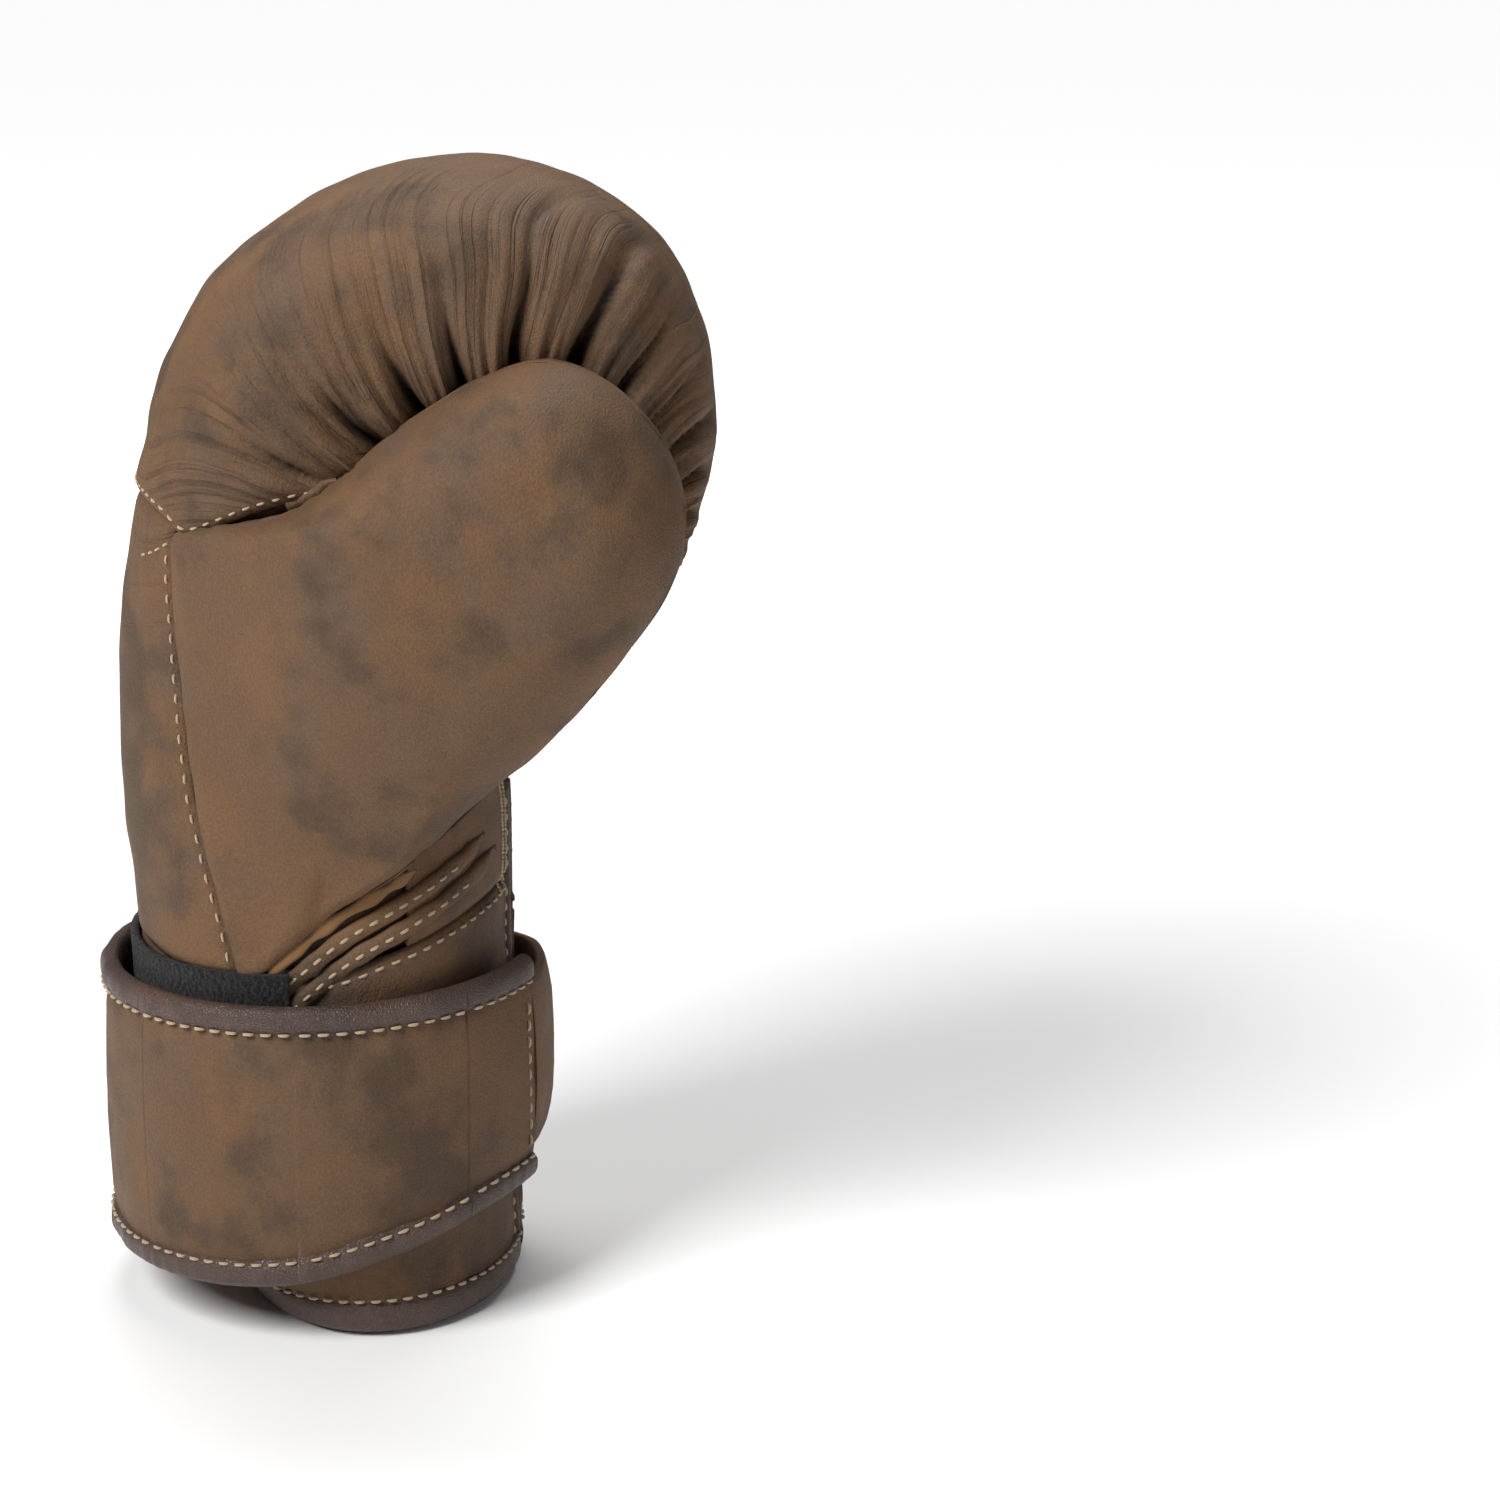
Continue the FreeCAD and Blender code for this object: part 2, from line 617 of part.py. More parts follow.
def strap():
    """The strap in links: a sewn-down end, an unbound bridge, then links with bound edges."""
    narrow = slab(strap_low_back + bridge_inset, strap_low_palm + bridge_inset,
                  strap_top_back - bridge_inset, strap_top_palm - bridge_inset)
    full = slab(strap_low_back + binding_lip, strap_low_palm + binding_lip,
                strap_top_back - binding_lip, strap_top_palm - binding_lip)
    band = cut_at_links(strap_oval(0).cut(strap_oval(strap_thickness)))
    sewn = cut_at_links(strap_oval(0).cut(skin_solid(layer_gap, 5))).common(narrow)
    keep("strap_anchor", links_between(sewn, anchor_start, anchor_end))
    keep("strap_bridge", links_between(band.common(narrow), anchor_end, bridge_end))
    sleeve = cut_at_links(strap_oval(-binding_lip).cut(strap_oval(strap_thickness + binding_lip)))
    edges = slab(strap_low_back, strap_low_palm, strap_top_back, strap_top_palm)
    edges = edges.cut(slab(strap_low_back + binding_height, strap_low_palm + binding_height,
                           strap_top_back - binding_height, strap_top_palm - binding_height))
    panel = band.common(full)
    rims = sleeve.common(edges).cut(panel)
    for i in range(strap_links):
        span = link_angles[i], link_angles[i + 1]
        keep(f"strap_panel_{i + 1}", links_between(panel, *span))
        keep(f"strap_binding_{i + 1}", links_between(rims, *span))
    hooks = strap_oval(strap_thickness).cut(strap_oval(strap_thickness + hook_thickness))
    inset = binding_height + layer_gap
    between_rims = slab(strap_low_back + inset, strap_low_palm + inset,
                        strap_top_back - inset, strap_top_palm - inset)
    hooks = cut_at_links(hooks).common(between_rims)
    keep("hook_panel", links_between(hooks, link_angles[-2], strap_end))


def upper_edge():
    """The middle of the pillow's upper edge, behind the thumb's tip, and that edge's slope."""
    xa, za, ra = pillow_circles[1]
    xb, zb, rb = pillow_circles[2]
    slope = math.atan2(za - zb, xa - xb) + math.asin((ra - rb) / math.hypot(xa - xb, za - zb))
    out = V(-math.sin(slope), 0, math.cos(slope))
    return V((xa + xb) / 2, 0, (za + zb) / 2) + out * ((ra + rb) / 2), math.degrees(slope)


def thumb_lock_tab():
    """A short tab sewn to the mitt that runs into the crease behind the thumb."""
    middle, slope = upper_edge()
    zone = box(-tab_width / 2, tab_width / 2, -FAR, 0, -tab_length / 2, tab_length / 2)
    zone.rotate(V(0, 0, 0), V(0, 1, 0), -slope)
    zone.translate(middle)
    strip = skin_solid(layer_gap + tab_thickness).common(zone)
    keep("thumb_lock_tab", strip.cut(skin_solid(layer_gap, 5)).cut(pillow(-thumb_clearance)))


def thumb_welts():
    """Two narrow strips laid over the seam where the side pad meets the cuff."""
    strips = []
    reach = box(loop_start_x + welt_start_gap, welt_end_x, -FAR, 0, 0, FAR)
    for number in range(2):
        low = cuff_height - welt_low + number * (welt_width + welt_gap)
        rising = slab(low, low + welt_slope, low + welt_width, low + welt_slope + welt_width)
        strip = skin_solid(layer_gap + welt_thickness).common(reach).common(rising)
        strips.append(strip.cut(skin_solid(layer_gap, 5)).cut(pillow(-layer_gap)))
    keep("thumb_base_welts", Part.makeCompound([x for s in strips for x in s.Solids]))


def main():
    os.makedirs("parts", exist_ok=True)
    mitt_leather()
    hand_leather()
    hand_padding()
    grip_bar()
    linings()
    cuff()
    hem()
    slit_trim()
    side_pad()
    thumb()
    loop_panel()
    strap()
    thumb_lock_tab()
    thumb_welts()
    for angle in joint_angles:
        point, out = strap_pivot(angle)
        print(f"strap hinge at {point.x:.3f} {point.y:.3f}")
    print(f"thumb hinge at {tuple(hinge_top)} along {tuple(hinge_line)}")


main()
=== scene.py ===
"""A left-hand boxing glove in dull brown leather, with a wrap-round wrist strap.

Metres, in the part's frame: +Z towards the knuckles, +X the palm side, -Y the thumb side.
"""

import math

import bpy
import numpy as np
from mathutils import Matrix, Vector
from mathutils.bvhtree import BVHTree


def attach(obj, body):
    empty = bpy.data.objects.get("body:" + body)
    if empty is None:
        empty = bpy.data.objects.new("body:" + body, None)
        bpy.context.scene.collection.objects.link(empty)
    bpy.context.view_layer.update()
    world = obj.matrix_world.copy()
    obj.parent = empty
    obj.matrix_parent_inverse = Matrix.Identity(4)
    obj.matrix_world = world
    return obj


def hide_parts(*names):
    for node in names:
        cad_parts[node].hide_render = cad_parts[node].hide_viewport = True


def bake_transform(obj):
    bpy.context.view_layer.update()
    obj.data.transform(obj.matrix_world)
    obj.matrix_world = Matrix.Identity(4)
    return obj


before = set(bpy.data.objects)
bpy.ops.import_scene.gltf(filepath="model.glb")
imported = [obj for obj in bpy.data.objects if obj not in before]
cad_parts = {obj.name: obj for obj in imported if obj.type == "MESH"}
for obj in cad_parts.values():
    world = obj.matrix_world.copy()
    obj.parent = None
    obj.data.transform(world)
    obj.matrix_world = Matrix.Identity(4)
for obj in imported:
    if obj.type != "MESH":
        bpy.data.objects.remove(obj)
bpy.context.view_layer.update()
MM = 0.001

# ---------------------------------------------------------------- sizes

LEATHER = 1.5 * MM
CURL = np.array([26.0, 0.0, 222.0]) * MM  # the point that the mitt curls round
CURL_PATH = 48.0 * MM  # radius that turns the mitt's angle into a length
SEAM_GROOVE = 1.3 * MM  # depth
SEAM_GROOVE_WIDTH = 1.5 * MM
THREAD = 0.42 * MM  # radius
STITCH = 3.1 * MM
STITCH_GAP = 1.3 * MM
CUFF_TOP = 96.0 * MM
SLIT_TOP = 130.0 * MM
SLIT_HALF = 3.7 * MM

# Height, back, palm, thumb side, finger side, squareness of the section, back wall, palm wall
LEVEL_ROWS = (
    (0.0, 33.0, 33.0, 50.0, 50.0, 2.05, 8.0, 8.0),
    (12.0, 41.6, 33.7, 50.0, 50.0, 2.05, 8.5, 8.0),
    (30.0, 53.5, 33.0, 50.5, 50.5, 2.05, 11.0, 8.0),
    (60.0, 59.7, 33.0, 51.0, 51.0, 2.1, 13.0, 8.0),
    (96.0, 61.6, 32.6, 50.8, 52.0, 2.2, 15.0, 8.0),
    (125.0, 63.9, 32.4, 47.5, 55.0, 2.35, 19.0, 11.0),
    (150.0, 64.6, 29.0, 45.5, 57.5, 2.45, 22.0, 12.0),
    (178.0, 62.4, 23.2, 47.0, 59.6, 2.45, 27.0, 12.0),
    (200.0, 58.6, 19.2, 51.5, 60.5, 2.4, 31.0, 14.0),
)
# Angle above the palm direction, inner and outer radius, thumb side, finger side, squareness
MITT_ROWS = (
    (180.0, 12.5, 80.0, 58.0, 62.0, 2.3),
    (158.0, 12.5, 75.0, 60.5, 62.5, 2.25),
    (135.0, 12.5, 70.5, 61.5, 62.5, 2.2),
    (108.0, 12.5, 66.9, 61.0, 62.0, 2.2),
    (80.0, 12.5, 66.7, 59.0, 61.4, 2.2),
    (54.0, 12.5, 65.8, 54.5, 60.0, 2.2),
    (30.0, 12.5, 63.8, 48.5, 57.5, 2.2),
    (6.0, 13.0, 60.6, 44.0, 54.0, 2.2),
    (-18.0, 14.5, 60.8, 41.5, 49.0, 2.15),
    (-34.0, 20.0, 62.3, 38.0, 43.0, 2.1),
    (-47.0, 27.5, 62.8, 32.0, 35.0, 2.05),
    (-57.0, 37.0, 60.6, 23.5, 25.5, 2.0),
    (-63.0, 45.5, 56.5, 12.5, 13.5, 2.0),
    (-65.2, 50.6, 51.4, 0.9, 0.9, 2.0),
)


# ---------------------------------------------------------------- numbers and curves

def smooth(low, high, value):
    share = np.clip((value - low) / (high - low), 0.0, 1.0)
    return share * share * (3 - 2 * share)


def through(places, values, at):
    """A smooth curve through rows of values, with no overshoot between rows."""
    places, values, at = (np.asarray(v, float) for v in (places, values, at))
    step = np.diff(places)
    rise = np.diff(values) / step
    slope = np.empty_like(values)
    slope[0], slope[-1] = rise[0], rise[-1]
    before, after = rise[:-1], rise[1:]
    mean = (before * step[1:] + after * step[:-1]) / (step[1:] + step[:-1])
    limit = 3 * np.minimum(abs(before), abs(after))
    slope[1:-1] = np.where(before * after > 0, np.clip(mean, -limit, limit), 0.0)
    i = np.clip(np.searchsorted(places, at) - 1, 0, len(step) - 1)
    h = step[i]
    s = np.clip((at - places[i]) / h, 0.0, 1.0)
    return ((2 * s**3 - 3 * s**2 + 1) * values[i] + (s**3 - 2 * s**2 + s) * h * slope[i]
            + (3 * s**2 - 2 * s**3) * values[i + 1] + (s**3 - s**2) * h * slope[i + 1])


WAVES = 7  # sine waves that make up one wobble


def wobble(points, size, seed):
    """Smooth irregular numbers between about -1 and 1; size is the distance between humps."""
    rng = np.random.default_rng(seed)
    points = np.atleast_2d(points)
    total = np.zeros(points.shape[:-1])
    for _ in range(WAVES):
        way = rng.normal(size=points.shape[-1])
        way *= rng.uniform(0.6, 1.5) / np.linalg.norm(way) * math.pi / size
        total += np.sin(points @ way + rng.uniform(0, 2 * math.pi))
    return total / math.sqrt(WAVES)


def wobble_line(values, size, seed):
    return wobble(np.asarray(values, float)[..., None], size, seed)


def even_steps(points, step):
    """Points along a line of points, a fixed step apart."""
    points = np.asarray(points, float)
    lengths = np.r_[0, np.cumsum(np.linalg.norm(np.diff(points, axis=0), axis=1))]
    at = np.linspace(0, lengths[-1], max(2, int(round(lengths[-1] / step)) + 1))
    return np.stack([np.interp(at, lengths, points[:, k]) for k in range(points.shape[1])], -1)


def rounded(points, rounds=3, closed=False):
    """Cuts a line's corners until it is a smooth curve."""
    points = np.asarray(points, float)
    for _ in range(rounds):
        following = np.roll(points, -1, axis=0) if closed else points[1:]
        here = points if closed else points[:-1]
        cut = np.stack([here * 0.75 + following * 0.25, here * 0.25 + following * 0.75], 1)
        cut = cut.reshape(-1, points.shape[1])
        points = cut if closed else np.vstack([points[:1], cut, points[-1:]])
    return points


def distance_to(line, points):
    """Distance from each point to the nearest point of a line, and that point's number."""
    flat = points.reshape(-1, points.shape[-1])
    best = np.full(len(flat), np.inf)
    which = np.zeros(len(flat), int)
    for first in range(0, len(flat), 20000):
        part = flat[first:first + 20000]
        gap = ((part[:, None, :] - line[None, :, :]) ** 2).sum(-1)
        which[first:first + 20000] = gap.argmin(1)
        best[first:first + 20000] = gap.min(1)
    return np.sqrt(best).reshape(points.shape[:-1]), which.reshape(points.shape[:-1])


# ---------------------------------------------------------------- meshes

def grid_quads(rows, cols, closed=False):
    j_count = cols if closed else cols - 1
    i, j = np.meshgrid(np.arange(rows - 1), np.arange(j_count), indexing="ij")
    a = i * cols + j
    b = i * cols + (j + 1) % cols
    return np.stack([a, b, b + cols, a + cols], -1).reshape(-1, 4)


def grid_normals(points, closed=False):
    """Outward normals of a grid of points, by the right-hand rule of its rows and columns."""
    if closed:
        padded = np.concatenate([points[:, -1:], points, points[:, :1]], 1)
        across = np.gradient(padded, axis=1)[:, 1:-1]
    else:
        across = np.gradient(points, axis=1)
    along = np.gradient(points, axis=0)
    normal = np.cross(across, along)
    return normal / np.maximum(np.linalg.norm(normal, axis=-1, keepdims=True), 1e-12)


def make_piece(name, points, quads, material):
    quads = np.ascontiguousarray(quads, dtype=np.int32)
    mesh = bpy.data.meshes.new(name)
    mesh.vertices.add(len(points))
    mesh.vertices.foreach_set("co", np.ascontiguousarray(points, dtype=np.float32).ravel())
    mesh.loops.add(quads.size)
    mesh.loops.foreach_set("vertex_index", quads.ravel())
    mesh.polygons.add(len(quads))
    mesh.polygons.foreach_set("loop_start", np.arange(0, quads.size, 4, dtype=np.int32))
    mesh.polygons.foreach_set("use_smooth", np.ones(len(quads), dtype=bool))
    mesh.update(calc_edges=True)
    mesh.validate()
    mesh.materials.append(material)
    piece = bpy.data.objects.new(name, mesh)
    bpy.context.collection.objects.link(piece)
    return piece


def belongs(piece, rider, slot, *nodes):
    """Says which body a piece rides and which nodes it stands for; the slot is not used."""
    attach(piece, rider)
    if nodes:
        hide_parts(*nodes)
    return piece


def thick(points, normals, quads, thickness):
    """Gives a sheet of quads a thickness, inwards, with closed rims."""
    used = np.unique(quads)
    number = np.full(len(points), -1)
    number[used] = np.arange(len(used))
    quads = number[quads]
    n = len(used)
    outer = points[used]
    inner = outer - normals[used] * thickness
    edges = np.concatenate([quads[:, [k, (k + 1) % 4]] for k in range(4)])
    ahead = edges[:, 0].astype(np.int64) * n + edges[:, 1]
    back = edges[:, 1].astype(np.int64) * n + edges[:, 0]
    rim = edges[~np.isin(ahead, back)]
    sides = np.stack([rim[:, 1], rim[:, 0], rim[:, 0] + n, rim[:, 1] + n], -1)
    return np.vstack([outer, inner]), np.vstack([quads, quads[:, ::-1] + n, sides])


def sheet_piece(name, points, normals, quads, thickness, material):
    return make_piece(name, *thick(points.reshape(-1, 3), normals.reshape(-1, 3), quads,
                                   thickness), material)


# ---------------------------------------------------------------- finishes

def colour(red, green, blue):
    """A colour given as it looks on a screen, 0 to 255, as linear light."""
    shares = [v / 255 for v in (red, green, blue)]
    linear = [s / 12.92 if s <= 0.04045 else ((s + 0.055) / 1.055) ** 2.4 for s in shares]
    return (*linear, 1.0)


def new_group(name, inputs, outputs):
    """A shader group; inputs and outputs are (name, socket type, value) rows."""
    group = bpy.data.node_groups.new(name, "ShaderNodeTree")
    for label, kind, value in inputs:
        socket = group.interface.new_socket(label, in_out="INPUT", socket_type=kind)
        socket.default_value = value
    for label, kind in outputs:
        group.interface.new_socket(label, in_out="OUTPUT", socket_type=kind)
    return group, group.nodes.new("NodeGroupInput"), group.nodes.new("NodeGroupOutput")


FLOAT, COLOUR, VECTOR = "NodeSocketFloat", "NodeSocketColor", "NodeSocketVector"


def feed(tree, node, links):
    """Links sockets, or sets plain values, on a node's inputs: (input, source) pairs."""
    for name, source in links:
        if hasattr(source, "is_output"):
            tree.links.new(source, node.inputs[name])
        else:
            node.inputs[name].default_value = source
    return node


def add(tree, kind, links=(), **values):
    """Adds a node; values set its properties before its inputs are fed."""
    node = tree.nodes.new(kind)
    for key, value in values.items():
        setattr(node, key, value)
    return feed(tree, node, links)


def maths(tree, operation, first, second=0.0):
    return add(tree, "ShaderNodeMath", [(0, first), (1, second)], operation=operation).outputs[0]


def stretch(tree, value, low, high, to_low=0.0, to_high=1.0):
    node = add(tree, "ShaderNodeMapRange", [
        ("Value", value), ("From Min", low), ("From Max", high),
        ("To Min", to_low), ("To Max", to_high)], interpolation_type="SMOOTHSTEP")
    return node.outputs["Result"]


def mix_colour(tree, share, first, second, blend="MIX"):
    return add(tree, "ShaderNodeMix", [(0, share), (6, first), (7, second)],
               data_type="RGBA", blend_type=blend).outputs[2]


def noise(tree, at, scale, detail=2.0, rough=0.5, stretch_by=None):
    if stretch_by:
        at = add(tree, "ShaderNodeMapping", [("Vector", at), ("Scale", stretch_by)]).outputs[0]
    node = add(tree, "ShaderNodeTexNoise", [
        ("Vector", at), ("Scale", scale), ("Detail", detail), ("Roughness", rough)])
    return node.outputs["Fac"]


def build_mottle():
    """Cloudy dark and warm patches, as in oiled nubuck."""
    group, ins, outs = new_group("hide_mottle", [
        ("Position", VECTOR, (0, 0, 0)), ("Ground", COLOUR, (0.2, 0.15, 0.1, 1)),
        ("Shadow", COLOUR, (0.1, 0.1, 0.1, 1)), ("Warm", COLOUR, (0.3, 0.2, 0.1, 1)),
        ("Cool", COLOUR, (0.2, 0.2, 0.2, 1)), ("Shadow Amount", FLOAT, 0.8)],
        [("Color", COLOUR), ("Patch", FLOAT)])
    at = ins.outputs["Position"]
    broad = noise(group, at, 24.0, 2.5, 0.55)
    middle = noise(group, at, 85.0, 3.0, 0.6)
    dark = stretch(group, maths(group, "ADD", broad, maths(group, "MULTIPLY", middle, 0.5)),
                   0.72, 0.92)
    warm = stretch(group, noise(group, at, 38.0, 2.0, 0.5, (1.0, 1.3, 1.0)), 0.46, 0.68)
    cool = stretch(group, noise(group, at, 49.0, 2.0, 0.5, (1.2, 1.0, 0.9)), 0.5, 0.72)
    tone = mix_colour(group, warm, ins.outputs["Ground"], ins.outputs["Warm"])
    tone = mix_colour(group, maths(group, "MULTIPLY", cool, 0.75), tone, ins.outputs["Cool"])
    dark = maths(group, "MULTIPLY", dark, ins.outputs["Shadow Amount"])
    tone = mix_colour(group, dark, tone, ins.outputs["Shadow"])
    speckle = noise(group, at, 1500.0, 2.0, 0.7)
    light = stretch(group, speckle, 0.3, 0.7, 0.86, 1.14)
    tone = mix_colour(group, 1.0, tone, add(group, "ShaderNodeCombineColor", [
        ("Red", light), ("Green", light), ("Blue", light)]).outputs[0], "MULTIPLY")
    group.links.new(tone, outs.inputs["Color"])
    group.links.new(dark, outs.inputs["Patch"])
    return group


def build_grain():
    """Fine pores and short creases; the height is 0 to 1."""
    group, ins, outs = new_group("hide_grain", [
        ("Position", VECTOR, (0, 0, 0)), ("Pore Size", FLOAT, 900.0), ("Crease", FLOAT, 0.3)],
        [("Height", FLOAT), ("Pit", FLOAT)])
    at = ins.outputs["Position"]
    warp = add(group, "ShaderNodeTexNoise", [("Vector", at), ("Scale", 300.0)])
    bent = add(group, "ShaderNodeVectorMath", [(0, warp.outputs["Color"])], operation="SCALE")
    bent.inputs["Scale"].default_value = 0.0012
    place = add(group, "ShaderNodeVectorMath", [(0, at), (1, bent.outputs[0])], operation="ADD")
    cells = add(group, "ShaderNodeTexVoronoi", [
        ("Vector", place.outputs[0]), ("Scale", ins.outputs["Pore Size"])],
        feature="DISTANCE_TO_EDGE")
    pits = stretch(group, cells.outputs["Distance"], 0.0, 0.22)
    nap = noise(group, at, 2600.0, 3.0, 0.7)
    lines = noise(group, at, 240.0, 4.0, 0.65, (1.0, 1.0, 0.35))
    height = maths(group, "ADD", maths(group, "MULTIPLY", pits, 0.45),
                   maths(group, "MULTIPLY", nap, 0.4))
    height = maths(group, "ADD", height,
                   maths(group, "MULTIPLY", lines, ins.outputs["Crease"]))
    group.links.new(height, outs.inputs["Height"])
    group.links.new(pits, outs.inputs["Pit"])
    return group


def build_folds():
    """Fine wrinkles that run along the gathers; needs the mesh's fold_way and fold_depth."""
    group, ins, outs = new_group("gather_lines", [("Lines", FLOAT, 1.0)],
                                 [("Height", FLOAT), ("Depth", FLOAT)])
    way = add(group, "ShaderNodeAttribute", attribute_name="fold_way")
    depth = add(group, "ShaderNodeAttribute", attribute_name="fold_depth")
    place = add(group, "ShaderNodeVectorMath", [
        (0, way.outputs["Vector"]), (1, (1.0, 0.07, 0.0))], operation="MULTIPLY")
    wide = noise(group, place.outputs[0], maths(group, "MULTIPLY", ins.outputs["Lines"], 0.75),
                 4.0, 0.7)
    cut = stretch(group, wide, 0.28, 0.5)
    height = maths(group, "MULTIPLY", maths(group, "SUBTRACT", cut, 1.0), depth.outputs["Fac"])
    group.links.new(height, outs.inputs["Height"])
    group.links.new(depth.outputs["Fac"], outs.inputs["Depth"])
    return group


def build_weave():
    """Plain-woven cloth: over and under threads."""
    group, ins, outs = new_group("plain_weave", [
        ("Position", VECTOR, (0, 0, 0)), ("Threads", FLOAT, 900.0)],
        [("Height", FLOAT), ("Gap", FLOAT)])
    waves = []
    for axis in ("X", "Z"):
        wave = add(group, "ShaderNodeTexWave", [
            ("Vector", ins.outputs["Position"]), ("Scale", ins.outputs["Threads"]),
            ("Distortion", 0.6), ("Detail", 1.0)], bands_direction=axis)
        waves.append(wave.outputs["Fac"])
    height = maths(group, "MAXIMUM", *waves)
    group.links.new(height, outs.inputs["Height"])
    group.links.new(stretch(group, height, 0.2, 0.7), outs.inputs["Gap"])
    return group


def build_pile():
    """Tangled loops of pile."""
    group, ins, outs = new_group("loop_pile", [("Position", VECTOR, (0, 0, 0))],
                                 [("Height", FLOAT), ("Shade", FLOAT)])
    at = ins.outputs["Position"]
    tangle = noise(group, at, 1400.0, 4.0, 0.75)
    tufts = add(group, "ShaderNodeTexVoronoi", [("Vector", at), ("Scale", 620.0)])
    height = maths(group, "ADD", tangle, maths(group, "MULTIPLY", tufts.outputs["Distance"], 0.8))
    group.links.new(height, outs.inputs["Height"])
    group.links.new(stretch(group, tangle, 0.35, 0.7), outs.inputs["Shade"])
    return group


GROUPS = {"mottle": build_mottle(), "grain": build_grain(), "folds": build_folds(),
          "weave": build_weave(), "pile": build_pile()}


def use_group(tree, name, links):
    return add(tree, "ShaderNodeGroup", links, node_tree=GROUPS[name])


def start_material(name, **fixed):
    """A material with its shader; fixed values go on the shader's own sockets."""
    material = bpy.data.materials.new(name)
    material.use_nodes = True
    tree = material.node_tree
    shader = tree.nodes["Principled BSDF"]
    for label, value in fixed.items():
        shader.inputs[label.replace("_", " ")].default_value = value
    place = add(tree, "ShaderNodeTexCoord").outputs["Object"]
    return material, tree, shader, place


def bump(tree, height, distance, strength=1.0, under=None):
    links = [("Height", height), ("Distance", distance), ("Strength", strength)]
    if under is not None:
        links.append(("Normal", under))
    return add(tree, "ShaderNodeBump", links).outputs["Normal"]


def leather(name, ground, shadow, warm, cool, rough=0.64, shadow_amount=0.8, sheen=0.08,
            folds=False, pore=1000.0, crease=0.3, depth=0.00016):
    material, tree, shader, place = start_material(
        name, Specular_IOR_Level=0.22, Sheen_Weight=sheen, Sheen_Roughness=0.5,
        Sheen_Tint=colour(190, 160, 130))
    mottle = use_group(tree, "mottle", [
        ("Position", place), ("Ground", ground), ("Shadow", shadow), ("Warm", warm),
        ("Cool", cool), ("Shadow Amount", shadow_amount)])
    grain = use_group(tree, "grain", [
        ("Position", place), ("Pore Size", pore), ("Crease", crease)])
    normal = bump(tree, grain.outputs["Height"], depth)
    tone = mottle.outputs["Color"]
    if folds:
        lines = use_group(tree, "folds", [("Lines", 1.0)])
        normal = bump(tree, lines.outputs["Height"], 0.0006, 1.0, normal)
        # painted shade: the leather is darkened towards colour(30, 21, 15) in the deepest fold
        # valleys and seam grooves, where shade falls
        painted_crease_shade = add(tree, "ShaderNodeAttribute", attribute_name="painted_crease_shade").outputs["Fac"]
        tone = mix_colour(tree, maths(tree, "MULTIPLY", painted_crease_shade, 0.85), tone,
                          colour(30, 21, 15))
        # painted shade: the fine gather wrinkles are darkened in their valleys, down to 0.86 of the
        # tone
        painted_wrinkle_shade = stretch(tree, lines.outputs["Height"], -0.8, 0.0, 0.86, 1.0)
        tone = mix_colour(tree, 1.0, tone, add(tree, "ShaderNodeCombineColor", [
            ("Red", painted_wrinkle_shade), ("Green", painted_wrinkle_shade), ("Blue", painted_wrinkle_shade)]).outputs[0], "MULTIPLY")
    tree.links.new(tone, shader.inputs["Base Color"])
    tree.links.new(normal, shader.inputs["Normal"])
    tree.links.new(stretch(tree, grain.outputs["Height"], 0.2, 0.9, rough - 0.06, rough + 0.1),
                   shader.inputs["Roughness"])
    return material


def binding_leather():
    """Smoother, glossier leather with a pebbled grain, for all the folded bindings."""
    material, tree, shader, place = start_material("binding_leather", Specular_IOR_Level=0.5)
    mottle = use_group(tree, "mottle", [
        ("Position", place), ("Ground", colour(74, 55, 47)), ("Shadow", colour(58, 43, 38)),
        ("Warm", colour(88, 64, 52)), ("Cool", colour(76, 61, 56)), ("Shadow Amount", 0.5)])
    grain = use_group(tree, "grain", [
        ("Position", place), ("Pore Size", 1150.0), ("Crease", 0.25)])
    tree.links.new(mottle.outputs["Color"], shader.inputs["Base Color"])
    tree.links.new(bump(tree, grain.outputs["Height"], 0.0003), shader.inputs["Normal"])
    tree.links.new(stretch(tree, grain.outputs["Pit"], 0.0, 1.0, 0.55, 0.36),
                   shader.inputs["Roughness"])
    return material


def thread(name, tone, dark):
    """Twisted sewing thread."""
    material, tree, shader, place = start_material(name, Sheen_Weight=0.3)
    twist = add(tree, "ShaderNodeTexWave", [
        ("Vector", place), ("Scale", 1300.0), ("Distortion", 1.5)], bands_direction="DIAGONAL")
    tree.links.new(mix_colour(tree, twist.outputs["Fac"], dark, tone),
                   shader.inputs["Base Color"])
    tree.links.new(bump(tree, twist.outputs["Fac"], 0.0001), shader.inputs["Normal"])
    tree.links.new(stretch(tree, twist.outputs["Fac"], 0.0, 1.0, 0.8, 0.6),
                   shader.inputs["Roughness"])
    return material


def cloth(name, tone, gap, threads):
    material, tree, shader, place = start_material(name, Sheen_Weight=0.3)
    weave = use_group(tree, "weave", [("Position", place), ("Threads", threads)])
    tree.links.new(mix_colour(tree, weave.outputs["Gap"], gap, tone), shader.inputs["Base Color"])
    tree.links.new(bump(tree, weave.outputs["Height"], 0.0003), shader.inputs["Normal"])
    tree.links.new(stretch(tree, weave.outputs["Gap"], 0.0, 1.0, 0.9, 0.75),
                   shader.inputs["Roughness"])
    return material


def pile_cloth(name, tone, tip):
    material, tree, shader, place = start_material(name, Specular_IOR_Level=0.2, Sheen_Weight=0.12)
    pile = use_group(tree, "pile", [("Position", place)])
    tree.links.new(mix_colour(tree, pile.outputs["Shade"], tone, tip), shader.inputs["Base Color"])
    tree.links.new(bump(tree, pile.outputs["Height"], 0.0009), shader.inputs["Normal"])
    tree.links.new(stretch(tree, pile.outputs["Shade"], 0.0, 1.0, 0.95, 0.8),
                   shader.inputs["Roughness"])
    return material


